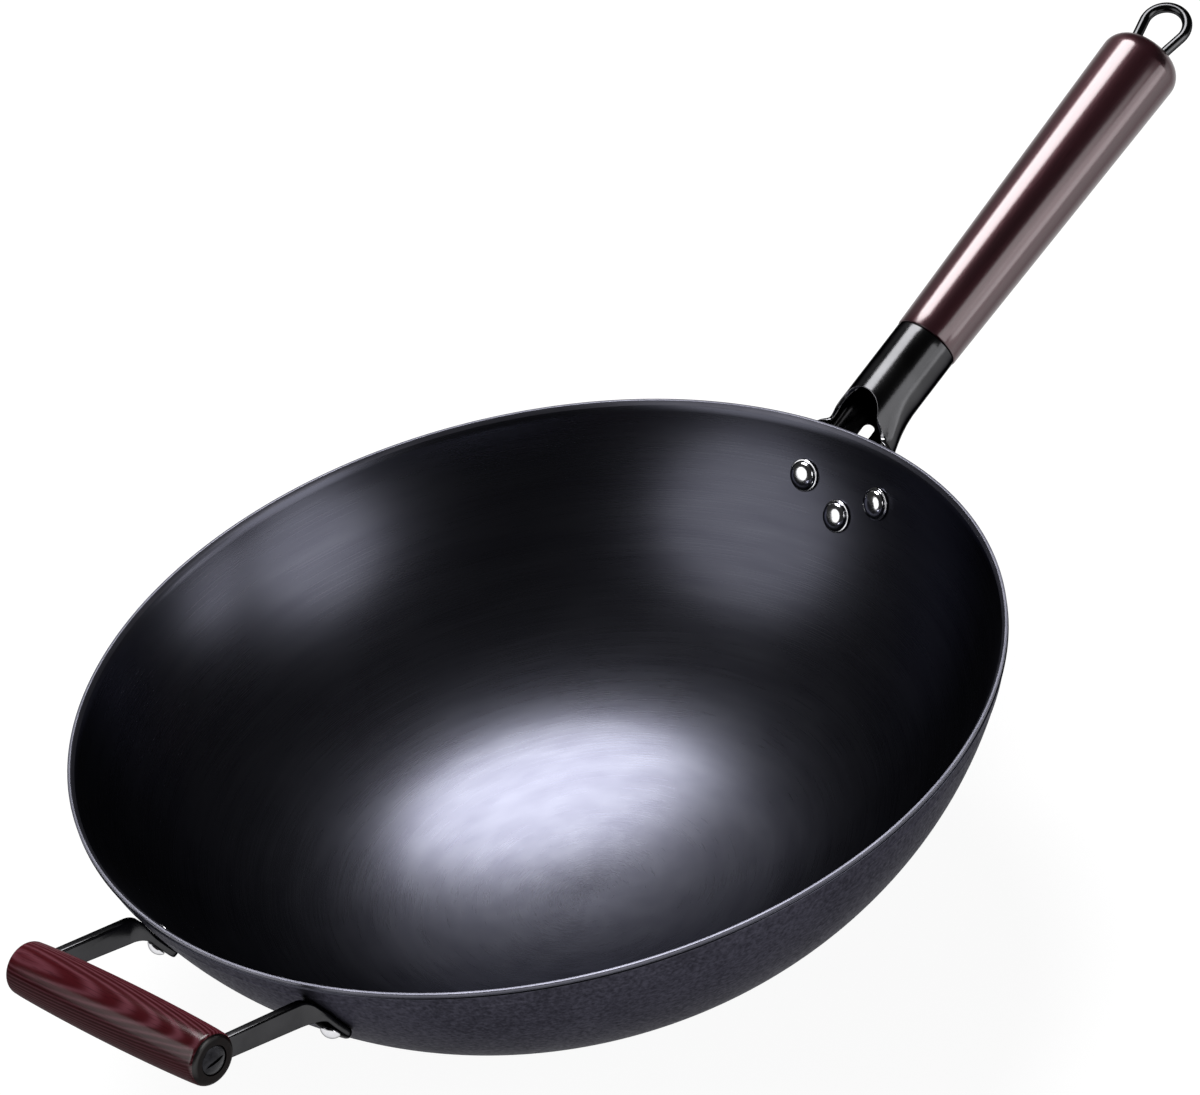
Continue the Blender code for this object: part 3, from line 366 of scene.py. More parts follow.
# Wall of the bowl


def two_arcs(start, start_slope, end, end_slope):
    """Two arcs that join two points smoothly: the slope where they meet, then each arc."""
    start = Vector(start)
    end = Vector(end)
    start_run = Vector((math.cos(start_slope), math.sin(start_slope)))
    end_run = Vector((math.cos(end_slope), math.sin(end_slope)))
    chord = end - start
    across = chord.dot(start_run + end_run)
    turning = 1.0 - start_run.dot(end_run)
    run = math.sqrt(across**2 + 2.0 * turning * chord.length_squared) - across
    run /= 2.0 * turning
    join = (start + start_run * run + end - end_run * run) / 2.0
    join_slope = 2.0 * math.atan2(join.y - start.y, join.x - start.x) - start_slope
    first = (join - start).length / (2.0 * math.sin((join_slope - start_slope) / 2.0))
    second = (end - join).length / (2.0 * math.sin((end_slope - join_slope) / 2.0))
    first_centre = start + Vector((-start_run.y, start_run.x)) * first
    second_centre = end + Vector((-end_run.y, end_run.x)) * second
    return join_slope, (first_centre, first), (second_centre, second)


RIM_END = (RIM_RADIUS + RIM_STEP_DEPTH, RIM_HEIGHT)
JOIN_SLOPE, LOWER_ARC, UPPER_ARC = two_arcs(
    (BASE_RADIUS, 0.0), BASE_SLOPE, RIM_END, RIM_SLOPE
)


def on_arc(curve, slope, out=0.0):
    """(radius, height) where an arc has this slope, or that far outside it."""
    centre, radius = curve
    return (
        centre.x + (radius + out) * math.sin(slope),
        centre.y - (radius + out) * math.cos(slope),
    )


def along_arc(curve, start_slope, end_slope, steps, out=0.0):
    return [on_arc(curve, slope, out) for slope in steps_between(start_slope, end_slope, steps)]


def slope_at(height, out=0.0):
    """Slope of the upper arc at a height, or of the surface that far outside it."""
    centre, radius = UPPER_ARC
    return math.acos((centre.y - height) / (radius + out))


def off_wall(point):
    """How far a point lies outside the outer wall, and the wall's outward direction there."""
    outwards = Vector((point.x, point.y, 0.0))
    reach = outwards.length
    outwards /= reach
    upper_centre = UPPER_ARC[0]
    slope = math.atan2(reach - upper_centre.x, upper_centre.y - point.z)
    centre, radius = LOWER_ARC if slope < JOIN_SLOPE else UPPER_ARC
    away = Vector((reach - centre.x, point.z - centre.y))
    normal = (outwards * away.x + UPWARDS * away.y) / away.length
    return away.length - radius, normal


def wall_spot(end, across, drop, out=0.0):
    """A point outside the wall and its outward direction, on the +X end (1) or the other."""
    reach = on_arc(UPPER_ARC, slope_at(RIM_HEIGHT - drop))[0]
    place = Vector((end * math.sqrt(reach**2 - across**2), across, RIM_HEIGHT - drop))
    normal = off_wall(place)[1]
    return place + normal * out, normal


def bowl_outline():
    """Outer wall from the base up, over the lip, and down the inside to the middle."""
    step_height = RIM_HEIGHT - RIM_STEP_HEIGHT
    step_slope = slope_at(step_height)
    step_radius = on_arc(UPPER_ARC, step_slope)[0]
    inner_slope = slope_at(RIM_HEIGHT - LIP_CHAMFER, -WALL)
    outside = along_arc(LOWER_ARC, BASE_SLOPE, JOIN_SLOPE, ARC_STEPS)
    line_low = slope_at(RIM_HEIGHT - ROLLED_LINE_DROP - ROLLED_LINE_HALF_WIDTH)
    line_high = slope_at(RIM_HEIGHT - ROLLED_LINE_DROP + ROLLED_LINE_HALF_WIDTH)
    outside += along_arc(UPPER_ARC, JOIN_SLOPE, line_low, ARC_STEPS)[1:]
    for share in steps_between(0.0, 1.0, ROLLED_LINE_STEPS)[1:]:
        relief = ROLLED_LINE_RELIEF * math.sin(share * math.pi) ** 2
        outside.append(on_arc(UPPER_ARC, line_low + (line_high - line_low) * share, relief))
    outside += along_arc(UPPER_ARC, line_high, step_slope, CORNER_STEPS + 1)[1:]
    lip = [
        (step_radius - RIM_STEP_DEPTH, step_height + RIM_STEP_DEPTH / 3.0),
        (RIM_RADIUS, RIM_HEIGHT),
        (RIM_RADIUS - LIP_FLAT, RIM_HEIGHT),
        on_arc(UPPER_ARC, inner_slope, -WALL),
    ]
    meeting = on_arc(UPPER_ARC, JOIN_SLOPE, -WALL)
    middle_slope, middle_arc, side_arc = two_arcs(
        (INNER_FLAT_RADIUS, FLOOR_THICKNESS), 0.0, meeting, JOIN_SLOPE
    )
    inside = along_arc(UPPER_ARC, inner_slope, JOIN_SLOPE, ARC_STEPS, -WALL)[1:]
    inside += along_arc(side_arc, JOIN_SLOPE, middle_slope, ARC_STEPS)[1:]
    inside += along_arc(middle_arc, middle_slope, 0.0, ARC_STEPS)[1:]
    base = [(0.0, 0.0), (BASE_RADIUS, 0.0)]
    return rounded(base + outside[1:] + lip + inside, RIM_ROUNDING) + [(0.0, FLOOR_THICKNESS)]


INSIDE, LIP, OUTSIDE = range(3)


def bowl_zone(first, second):
    """Which finish the wall has between two points of its outline."""
    low, high = sorted((first, second), key=lambda point: point[1])
    if first[0] >= second[0] and high[1] > FLOOR_THICKNESS / 2.0:
        if low[1] > RIM_HEIGHT - LIP_CHAMFER - RIM_ROUNDING / 2.0:
            return LIP
        return INSIDE
    if low[1] > RIM_HEIGHT - RIM_STEP_HEIGHT:
        return LIP
    return OUTSIDE


# Shader nodes


class Wiring:
    """Adds nodes to a tree. An input given as a socket is linked, and any other is set."""

    def __init__(self, tree):
        self.tree = tree

    def add(self, kind, inputs=None, **settings):
        made = self.tree.nodes.new(kind)
        for name, value in settings.items():
            setattr(made, name, value)
        for name, value in (inputs or {}).items():
            self.feed(made.inputs[name], value)
        return made

    def feed(self, socket, value):
        if isinstance(value, bpy.types.NodeSocket):
            self.tree.links.new(value, socket)
        elif socket.type == "RGBA":
            socket.default_value = (*value, 1.0)
        else:
            socket.default_value = value

    def math(self, operation, *values):
        inputs = dict(enumerate(values))
        return self.add("ShaderNodeMath", inputs, operation=operation).outputs[0]

    def scaled(self, vector, factors):
        made = self.add("ShaderNodeVectorMath", {0: vector, 1: factors}, operation="MULTIPLY")
        return made.outputs[0]

    def spread(self, value, span, low, high):
        """Maps a span of values to the range from low to high, held at its ends."""
        inputs = {"Value": value, "From Min": span[0], "From Max": span[1]}
        inputs.update({"To Min": low, "To Max": high})
        return self.add("ShaderNodeMapRange", inputs).outputs["Result"]

    def noise(self, vector, scale, detail=3.0, roughness=0.5):
        inputs = {"Vector": vector, "Scale": scale, "Detail": detail, "Roughness": roughness}
        return self.add("ShaderNodeTexNoise", inputs).outputs["Fac"]

    def mixed(self, share, first, second):
        made = self.add("ShaderNodeMix", data_type="RGBA")
        self.feed(made.inputs["Factor"], share)
        colours = [socket for socket in made.inputs if socket.type == "RGBA"]
        self.feed(colours[0], first)
        self.feed(colours[1], second)
        return [socket for socket in made.outputs if socket.type == "RGBA"][0]


def shared_group(name, inputs, outputs):
    """An empty node group with float inputs at their usual values and float outputs."""
    tree = bpy.data.node_groups.new(name, "ShaderNodeTree")
    tree.interface.new_socket("Place", in_out="INPUT", socket_type="NodeSocketVector")
    for label, value in inputs.items():
        socket = tree.interface.new_socket(label, in_out="INPUT", socket_type="NodeSocketFloat")
        socket.default_value = value
    for label in outputs:
        tree.interface.new_socket(label, in_out="OUTPUT", socket_type="NodeSocketFloat")
    wires = Wiring(tree)
    return tree, wires, wires.add("NodeGroupInput").outputs, wires.add("NodeGroupOutput").inputs


def make_turning_marks():
    """Fine rings left by a brush or a cutter round local Z, each running part of the way."""
    tree, wires, given, result = shared_group(
        "turning_marks", {"Rings": 2200.0, "Runs": 3.0}, ["Marks", "Bands"]
    )
    flat = wires.scaled(given["Place"], (1.0, 1.0, 0.0))
    length = wires.add("ShaderNodeVectorMath", {0: flat}, operation="LENGTH").outputs["Value"]
    heading = wires.add("ShaderNodeVectorMath", {0: flat}, operation="NORMALIZE").outputs[0]
    parts = wires.add("ShaderNodeSeparateXYZ", {0: heading}).outputs
    height = wires.add("ShaderNodeSeparateXYZ", {0: given["Place"]}).outputs["Z"]
    ring = wires.math("ADD", length, height)
    turned_place = {
        "X": wires.math("MULTIPLY", parts["X"], given["Runs"]),
        "Y": wires.math("MULTIPLY", parts["Y"], given["Runs"]),
        "Z": wires.math("MULTIPLY", ring, given["Rings"]),
    }
    place = wires.add("ShaderNodeCombineXYZ", turned_place).outputs[0]
    wires.feed(result["Marks"], wires.noise(place, 1.0, 2.0))
    broad = wires.scaled(place, (1.0, 1.0, 0.07))
    wires.feed(result["Bands"], wires.noise(broad, 1.0, 2.0))
    return tree


def make_fine_grain():
    """Small even grain of a sprayed, blasted or cast surface, and slow patches over it."""
    tree, wires, given, result = shared_group(
        "fine_grain", {"Grains": 1500.0, "Patches": 25.0}, ["Grain", "Patches"]
    )
    wires.feed(result["Grain"], wires.noise(given["Place"], given["Grains"], 2.0, 0.6))
    wires.feed(result["Patches"], wires.noise(given["Place"], given["Patches"], 3.0, 0.55))
    return tree


def make_wood_grain():
    """Growth lines and pores of wood that runs along local Z."""
    tree, wires, given, result = shared_group(
        "wood_grain", {"Lines": 900.0, "Wander": 1.0, "Pores": 2600.0}, ["Growth", "Pores", "Tone"]
    )
    drawn = wires.scaled(given["Place"], (1.0, 1.0, 0.09))
    wander = wires.noise(drawn, 120.0, 2.0)
    wander = wires.math("MULTIPLY", wires.math("SUBTRACT", wander, 0.5), given["Wander"])
    parts = wires.add("ShaderNodeSeparateXYZ", {0: drawn}).outputs
    aside = wires.math("ADD", parts["Y"], wires.math("MULTIPLY", parts["X"], 0.35))
    aside = wires.math("ADD", aside, wires.math("MULTIPLY", parts["Z"], 0.6))
    lines = wires.math("MULTIPLY", aside, given["Lines"])
    lines = wires.math("ADD", lines, wires.math("MULTIPLY", wander, 9.0))
    wave = wires.math("SINE", lines)
    wires.feed(result["Growth"], wires.spread(wave, (-1.0, 1.0), 0.0, 1.0))
    fibre = wires.scaled(given["Place"], (1.0, 1.0, 0.035))
    pores = wires.noise(fibre, given["Pores"], 1.0)
    wires.feed(result["Pores"], wires.spread(pores, (0.56, 0.7), 0.0, 1.0))
    wires.feed(result["Tone"], wires.noise(drawn, 45.0, 2.0))
    return tree


TURNING_MARKS = make_turning_marks()
FINE_GRAIN = make_fine_grain()
WOOD_GRAIN = make_wood_grain()


# Materials

NOISE_SPAN = (0.3, 0.7)  # most values of a noise lie between these
DULL_EDGE = (0.2, 0.2, 0.2)  # keeps a metal from turning bright where it is seen aslant


class Finish(Wiring):
    """A material in the making, with the sockets of its shader."""

    def __init__(self, name):
        self.material = bpy.data.materials.new(name)
        self.material.use_nodes = True
        super().__init__(self.material.node_tree)
        self.sockets = self.tree.nodes["Principled BSDF"].inputs

    def shade(self, values):
        for name, value in values.items():
            self.feed(self.sockets[name], value)

    def placed(self, shared, inputs):
        """Outputs of a shared group that follows the piece."""
        inputs["Place"] = self.add("ShaderNodeTexCoord").outputs["Object"]
        return self.add("ShaderNodeGroup", inputs, node_tree=shared).outputs

    def marks(self, rings, runs):
        return self.placed(TURNING_MARKS, {"Rings": rings, "Runs": runs})

    def grain(self, grains, patches):
        return self.placed(FINE_GRAIN, {"Grains": grains, "Patches": patches})

    def colour(self, mask, span, dark, light):
        share = self.spread(mask, span, 0.0, 1.0)
        self.shade({"Base Color": self.mixed(share, dark, light)})

    def roughness(self, mask, span, low, high):
        self.shade({"Roughness": self.spread(mask, span, low, high)})

    def relief(self, height, depth):
        bump = self.add("ShaderNodeBump", {"Height": height, "Distance": depth})
        self.shade({"Normal": bump.outputs["Normal"]})

    def lacquer(self, roughness, fade, least, under=0.0):
        """A gloss coat, weaker where the surface turns away. under is the bare wood's gloss."""
        facing = self.add("ShaderNodeLayerWeight", {"Blend": 0.5}).outputs["Facing"]
        self.shade({"Coat Weight": self.spread(facing, fade, 1.0, least)})
        self.shade({"Coat Roughness": roughness, "Coat IOR": 1.7, "Specular IOR Level": under})


def iron_inside():
    """Blued iron: a dark mirror-like skin with circular marks and slow changes of polish."""
    made = Finish("blued_iron_inside")
    marks = made.marks(rings=1500.0, runs=3.0)
    grain = made.grain(grains=1800.0, patches=22.0)
    made.colour(marks["Bands"], NOISE_SPAN, (0.078, 0.079, 0.102), (0.094, 0.096, 0.12))
    polish = made.math("MULTIPLY", made.math("ADD", marks["Marks"], grain["Patches"]), 0.5)
    made.roughness(polish, NOISE_SPAN, 0.255, 0.305)
    height = made.math("ADD", marks["Marks"], made.math("MULTIPLY", grain["Grain"], 0.6))
    made.relief(height, 0.0022 * MM)
    made.shade({"Metallic": 1.0, "Specular Tint": DULL_EDGE})
    return made.material


def iron_outside():
    """Outside of the bowl: dull blued iron with the fine skin of the mill, never polished."""
    made = Finish("blued_iron_outside")
    marks = made.marks(rings=700.0, runs=4.0)
    grain = made.grain(grains=620.0, patches=30.0)
    slow = made.math("MULTIPLY", grain["Patches"], 0.25)
    mottle = made.math("MULTIPLY_ADD", grain["Grain"], 0.75, slow)
    made.colour(mottle, (0.36, 0.64), (0.032, 0.031, 0.042), (0.066, 0.064, 0.086))
    made.roughness(mottle, (0.35, 0.65), 0.56, 0.42)
    made.relief(made.math("MULTIPLY_ADD", marks["Marks"], 0.3, grain["Grain"]), 0.14 * MM)
    made.shade({"Metallic": 1.0, "Specular Tint": (0.45, 0.45, 0.45)})
    return made.material


def machined_lip():
    """Bare edge of the rim, dulled by handling."""
    made = Finish("machined_lip")
    marks = made.marks(rings=4000.0, runs=2.0)
    patches = made.grain(grains=900.0, patches=24.0)["Patches"]
    made.colour(patches, NOISE_SPAN, (0.1, 0.1, 0.125), (0.17, 0.17, 0.205))
    made.roughness(marks["Marks"], NOISE_SPAN, 0.36, 0.46)
    made.relief(marks["Marks"], 0.002 * MM)
    made.shade({"Metallic": 1.0})
    return made.material


def black_steel(name, dark, light):
    """Satin black coating on pressed steel, with a faint orange-peel."""
    made = Finish(name)
    grain = made.grain(grains=1400.0, patches=60.0)
    made.colour(grain["Patches"], (0.35, 0.65), dark, light)
    uneven = made.math("ADD", made.math("MULTIPLY", grain["Grain"], 0.4), grain["Patches"])
    made.roughness(uneven, (0.5, 0.9), 0.15, 0.21)
    made.relief(grain["Grain"], 0.01 * MM)
    made.shade({"Metallic": 1.0, "Specular Tint": DULL_EDGE})
    return made.material


def polished_steel():
    """Bright formed heads of the rivets."""
    made = Finish("polished_steel")
    patches = made.grain(grains=700.0, patches=240.0)["Patches"]
    made.colour(patches, NOISE_SPAN, (0.72, 0.72, 0.75), (0.85, 0.85, 0.87))
    made.roughness(made.marks(rings=9000.0, runs=2.0)["Marks"], NOISE_SPAN, 0.1, 0.17)
    made.relief(patches, 0.03 * MM)
    made.shade({"Metallic": 1.0, "Specular Tint": DULL_EDGE})
    return made.material


def dark_steel():
    """Blackened screw, bolt and nut."""
    made = Finish("blackened_steel")
    grain = made.grain(grains=2600.0, patches=300.0)
    made.colour(grain["Patches"], NOISE_SPAN, (0.012, 0.012, 0.014), (0.035, 0.035, 0.04))
    made.roughness(made.marks(rings=5000.0, runs=2.0)["Marks"], NOISE_SPAN, 0.25, 0.4)
    made.relief(grain["Grain"], 0.03 * MM)
    made.shade({"Metallic": 0.9})
    return made.material


def wood(name, tones, line, lines, wander, line_share):
    """Bare wood: two tones along the grain, growth lines of a third, and fine pores."""
    made = Finish(name)
    dark, light = tones
    grain = made.placed(WOOD_GRAIN, {"Lines": lines, "Wander": wander})
    tone = made.mixed(made.spread(grain["Tone"], (0.32, 0.68), 0.0, 1.0), dark, light)
    growth = made.math("MULTIPLY", made.math("POWER", grain["Growth"], 2.0), line_share)
    pores = made.math("MULTIPLY", grain["Pores"], line_share)
    pore_colour = [value * 0.3 for value in dark]
    made.shade({"Base Color": made.mixed(pores, made.mixed(growth, tone, line), pore_colour)})
    made.roughness(grain["Tone"], NOISE_SPAN, 0.28, 0.38)
    height = made.math("MULTIPLY", made.math("ADD", grain["Pores"], grain["Growth"]), -1.0)
    made.relief(height, 0.012 * MM)
    return made


def maroon_wood():
    """Dark maroon lacquer that lets little of the wood's grain through."""
    tones = ((0.013, 0.003, 0.005), (0.03, 0.007, 0.01))
    line = (0.008, 0.003, 0.004)
    made = wood("maroon_lacquered_wood", tones, line, lines=700.0, wander=0.6, line_share=0.5)
    made.lacquer(roughness=0.17, fade=(0.32, 0.48), least=0.16, under=0.5)
    made.shade({"Specular Tint": (1.0, 0.35, 0.45)})
    return made.material


def red_brown_wood():
    """Red-brown wood under clear lacquer, its grain in fine pale lines."""
    tones = ((0.045, 0.004, 0.006), (0.11, 0.012, 0.018))
    line = (0.27, 0.09, 0.12)
    made = wood("red_brown_wood", tones, line, lines=6000.0, wander=0.9, line_share=0.42)
    made.lacquer(roughness=0.2, fade=(0.12, 0.36), least=0.1)
    return made.material


def sealed_and_shaded_end_grain():
    """Ends of the barrel: end grain nearly black from stain, and from painted shade."""
    tones = ((0.003, 0.0015, 0.0015), (0.01, 0.005, 0.005))
    line = (0.016, 0.008, 0.008)
    made = wood("stained_and_shaded_end_grain", tones, line, lines=1600.0, wander=1.0, line_share=0.4)
    made.lacquer(roughness=0.3, fade=(0.0, 0.3), least=0.15)
    return made.material


IRON_INSIDE = iron_inside()
IRON_OUTSIDE = iron_outside()
MACHINED_LIP = machined_lip()
BLACK_STEEL = black_steel("satin_black_steel", (0.048, 0.048, 0.05), (0.062, 0.062, 0.065))
# Cut edges of the bracket: paint worn thin there, and made lighter still as a painted highlight
WORN_HIGHLIT_EDGE = black_steel("worn_and_highlit_black_edge", (0.22, 0.22, 0.23), (0.38, 0.38, 0.4))
POLISHED_STEEL = polished_steel()
DARK_STEEL = dark_steel()
LONG_GRIP_WOOD = maroon_wood()
HELPER_WOOD = red_brown_wood()
# The barrel's ends: stained end grain, darkened further with painted shade
END_GRAIN_AND_SHADE = sealed_and_shaded_end_grain()


# Pieces


def wok():
    mesh = turned("wok", bowl_outline(), BOWL_SEGMENTS, bowl_zone)
    finishes = [IRON_INSIDE, MACHINED_LIP, IRON_OUTSIDE]
    add_piece("wok_body", mesh, finishes, name="wok")


def button(radius, height, lip):
    """Outline of a formed head, steep at its rim and nearly flat at its crown."""
    outline = []
    for turn in steps_between(0.0, math.radians(90.0), 2 * CURVE_STEPS):
        across = max(math.cos(turn), 0.0) ** BUTTON_FULLNESS
        outline.append((radius * across, lip + (height - lip) * math.sin(turn) ** BUTTON_FULLNESS))
    return outline


def domed_head(seat, radius, height, lip):
    """Outline of a low domed head, from the edge of its seat to the middle of its crown."""
    crown = height - lip
    ball = (radius**2 + crown**2) / (2.0 * crown)
    half_angle = math.degrees(math.asin(radius / ball))
    dome = arc((0.0, height - ball), ball, 90.0 - half_angle, 90.0, CURVE_STEPS)
    rising = [(across, seat + up) for across, up in dome[:-1]]
    return [(radius, seat)] + rising + [(0.0, seat + height)]


def rivet(node, turn, spot, size, stack):
    """Head inside the bowl, shank through the wall and the sheet, tail formed on the outside."""
    place, normal = spot
    shank, head, head_height, tail, tail_height = size
    head_seat = -(WALL + CLEARANCE + head**2 / (2.0 * (UPPER_ARC[1] - WALL)))
    tail_seat = stack + CLEARANCE
    inside = button(head - RIVET_LIP, head_height, RIVET_LIP)[:-1]
    outline = [(0.0, head_seat - head_height)]
    outline += [(radius, head_seat - height) for radius, height in reversed(inside)]
    outline += [(head, head_seat - RIVET_LIP), (head, head_seat)]
    outline += [(shank, head_seat), (shank, tail_seat)]
    outline += domed_head(tail_seat, tail, tail_height, RIVET_LIP)
    mesh = turned(node + "_fine", rounded(outline, RIVET_EDGE), RIVET_SEGMENTS)
    add_piece(node, mesh, [POLISHED_STEEL], turn @ aimed(normal, place))


HANDLE_AXIS = Vector((math.cos(HANDLE_TILT), 0.0, math.sin(HANDLE_TILT)))
HANDLE_TOP = Vector((-math.sin(HANDLE_TILT), 0.0, math.cos(HANDLE_TILT)))
HANDLE_FOOT = Vector((RIM_RADIUS, 0.0, RIM_HEIGHT - HANDLE_DROP))


def along_handle(reach):
    return HANDLE_FOOT + HANDLE_AXIS * reach


class Petal:
    """One line of the bracket's sheet: down the tube, round the bend and out along the wall."""

    def __init__(self, angle):
        self.out = HANDLE_TOP * math.cos(angle) + ACROSS * math.sin(angle)
        lower_side = min(angle / FLARE_FULL_ANGLE, 1.0) ** FLARE_POWER
        leaning = math.pi * (angle / math.pi) ** (math.log(0.5) / math.log(OPENING_SIDE / math.pi))
        self.opening = OPENING * math.sin(leaning) ** OPENING_FOCUS
        self.flare = FLARE_TOP_RADIUS + (FLARE_RADIUS - FLARE_TOP_RADIUS) * lower_side
        self.seat = CLEARANCE + SHEET / 2.0

        def clear(run):
            return off_wall(self.ball_centre(run))[0] > self.seat + self.flare

        self.bend_start = last_clear(clear, 2.0 * SEAM_REACH)
        self.leaving = self.on_tube(self.bend_start)[1]
        self.ball = self.ball_centre(self.bend_start)
        self.wall_normal = off_wall(self.ball)[1]
        self.turn = self.leaving.angle(self.wall_normal)
        self.bend_end = self.bend_start + self.flare * self.turn

    def on_tube(self, run):
        """Point and outward direction this far from the wood, as if there were no wall."""
        past = run - (SEAM_REACH - OPENING_REACH)
        opened = min(max(past / OPENING_RADIUS, 0.0), self.opening)
        straight = past - OPENING_RADIUS * opened
        forward = -HANDLE_AXIS * math.cos(opened) + self.out * math.sin(opened)
        facing = self.out * math.cos(opened) + HANDLE_AXIS * math.sin(opened)
        place = HANDLE_FOOT + HANDLE_AXIS * OPENING_REACH
        place += self.out * (TUBE_RADIUS - SHEET / 2.0)
        place += (self.out - facing) * OPENING_RADIUS + forward * straight
        return place, facing

    def ball_centre(self, run):
        """Middle of a ball that rolls in the corner between the tube and the wall."""
        place, facing = self.on_tube(run)
        return place + facing * self.flare

    def at(self, run):
        """Point and outward direction of the sheet's middle, this far from the wood."""
        if run <= self.bend_start:
            return self.on_tube(run)
        sine = math.sin(self.turn)
        if run <= self.bend_end:
            part = (run - self.bend_start) / self.flare
            facing = self.leaving * math.sin(self.turn - part)
            facing = (facing + self.wall_normal * math.sin(part)) / sine
            return self.ball - facing * self.flare, facing
        onwards = (self.leaving - self.wall_normal * math.cos(self.turn)) / sine
        place = self.ball - self.wall_normal * self.flare + onwards * (run - self.bend_end)
        away, normal = off_wall(place)
        return place + normal * (self.seat - away), normal


def tapered_pad(start, start_radius, end, end_radius):
    """Tells whether a point lies in the pad that widens from one round end to the other."""
    along = end - start

    def covers(point):
        share = (point - start).dot(along) / along.length_squared
        share = min(max(share, 0.0), 1.0)
        radius = start_radius + (end_radius - start_radius) * share
        return (point - start - along * share).length < radius

    return covers


def petal_pads():
    out = CLEARANCE + SHEET / 2.0
    shoulder = wall_spot(1, WING_SHOULDER_ACROSS, WING_SHOULDER_DROP, out)[0]
    wing = wall_spot(1, RIVET_ACROSS, RIVET_DROP, out)[0]
    root = wall_spot(1, 0.0, TONGUE_ROOT_DROP, out)[0]
    tip = wall_spot(1, 0.0, LOWER_RIVET_DROP, out)[0]
    return [
        tapered_pad(shoulder, WING_SHOULDER_RADIUS, wing, PAD_RADIUS),
        tapered_pad(root, TONGUE_ROOT_RADIUS, tip, PAD_RADIUS),
    ]


def sheet_length(petal, angle, pads):
    """How far the sheet runs from the wood at this angle: to the arch, a notch or a pad's edge."""
    arch = SEAM_REACH - ARCH_REACH + ARCH_FALL * (angle / (math.pi / 2.0)) ** ARCH_POWER
    bend = petal.bend_end - petal.bend_start
    notch = petal.bend_start + bend * NOTCH_SHARE * angle / math.pi
    length = min(arch, notch)
    run = petal.bend_end + 4.0 * PAD_RADIUS  # past every pad
    while run > length:
        if any(covers(petal.at(run)[0]) for covers in pads):
            return run
        run -= OUTLINE_STEP
    return length


def even_outline(points, count):
    """Points evenly spaced along a line of (angle, length) points, ends kept."""
    walked = [0.0]
    for a, b in zip(points, points[1:]):
        walked.append(walked[-1] + math.hypot((b[0] - a[0]) * TUBE_RADIUS, b[1] - a[1]))
    spaced = []
    i = 0
    for k in range(count + 1):
        goal = walked[-1] * k / count
        while i < len(walked) - 2 and walked[i + 1] < goal:
            i += 1
        share = (goal - walked[i]) / (walked[i + 1] - walked[i])
        share = min(max(share, 0.0), 1.0)
        a, b = points[i], points[i + 1]
        spaced.append((a[0] + (b[0] - a[0]) * share, a[1] + (b[1] - a[1]) * share))
    return spaced


def eased(points):
    """Rounds the corners of the outline, which is mirrored at both of its ends."""
    for _ in range(OUTLINE_ROUNDS):
        inner = [
            ((a[0] + b[0] + c[0]) / 3.0, (a[1] + b[1] + c[1]) / 3.0)
            for a, b, c in zip(points, points[1:], points[2:])
        ]
        first, last = points[0], points[-1]
        crown = (first[0], (first[1] + 2.0 * points[1][1]) / 3.0)
        tip = (last[0], (last[1] + 2.0 * points[-2][1]) / 3.0)
        points = [crown] + inner + [tip]
    return points


def sheet_section(petal, length):
    """(run, offset from the middle) round one line of the sheet, its edges rounded."""
    half = SHEET / 2.0
    end = length - SHEET_EDGE
    bend = min(petal.bend_start, length * BEND_LATEST)
    runs = steps_between(SHEET_EDGE, bend, CURVE_STEPS)
    runs += steps_between(bend, end, 2 * CURVE_STEPS)[1:]
    corner = arc((0.0, half - SHEET_EDGE), SHEET_EDGE, 0.0, 90.0, CORNER_STEPS)
    start = [(SHEET_EDGE - along, offset) for along, offset in corner[:-1]]
    side = [(run, half) for run in runs]
    turn = [(end + along, offset) for along, offset in corner[-2::-1]]
    upper = start + side + turn
    return upper + [(run, -offset) for run, offset in upper[::-1]]


def grid_mesh(name, rows, zone=None, closed=True):
    """Skins rows of equally many points, each a closed ring. Open skins get two flat ends."""
    bm = bmesh.new()
    made = [[bm.verts.new(point) for point in row] for row in rows]
    count = len(made[0])
    following = made[1:] + made[:1] if closed else made[1:]
    for row, beyond in zip(made, following):
        for i in range(count):
            j = (i + 1) % count
            face = bm.faces.new((row[i], row[j], beyond[j], beyond[i]))
            if zone:
                face.material_index = zone(i)
    if not closed:
        bm.faces.new(made[0])
        bm.faces.new(made[-1])
    return finish_mesh(name, bm)


def slot_mesh(sign):
    """A round-ended slot along the sheet, from the tube to past the notch on the wall."""
    petal = Petal(SLOT_ANGLE)
    start = SEAM_REACH - SLOT_REACH
    stops = [
        (start + SLOT_HALF_WIDTH * (1.0 - math.cos(turn)), SLOT_HALF_WIDTH * math.sin(turn))
        for turn in steps_between(SLOT_FIRST_TURN, math.radians(90.0), CURVE_STEPS)
    ]
    past_notch = petal.bend_end + SLOT_HALF_WIDTH
    runs = steps_between(stops[-1][0], past_notch, LONG_CURVE_STEPS)[1:]
    stops += [(run, SLOT_HALF_WIDTH) for run in runs]
    rings = []
    for run, half_width in stops:
        place, facing = petal.at(run)
        heading = petal.at(run + CLEARANCE)[0] - place
        side = heading.cross(facing).normalized() * half_width
        deep = facing * SHEET * SLOT_CUT
        ring = [place + side + deep, place - side + deep, place - side - deep, place + side - deep]
        rings.append([Vector((p.x, p.y * sign, p.z)) for p in ring])
    return grid_mesh("tongue_slot", rings, closed=False)


HANDLE_RIVETS = (
    ("handle_rivet_left", wall_spot(1, RIVET_ACROSS, RIVET_DROP)),
    ("handle_rivet_right", wall_spot(1, -RIVET_ACROSS, RIVET_DROP)),
    ("handle_rivet_lower", wall_spot(1, 0.0, LOWER_RIVET_DROP)),
)


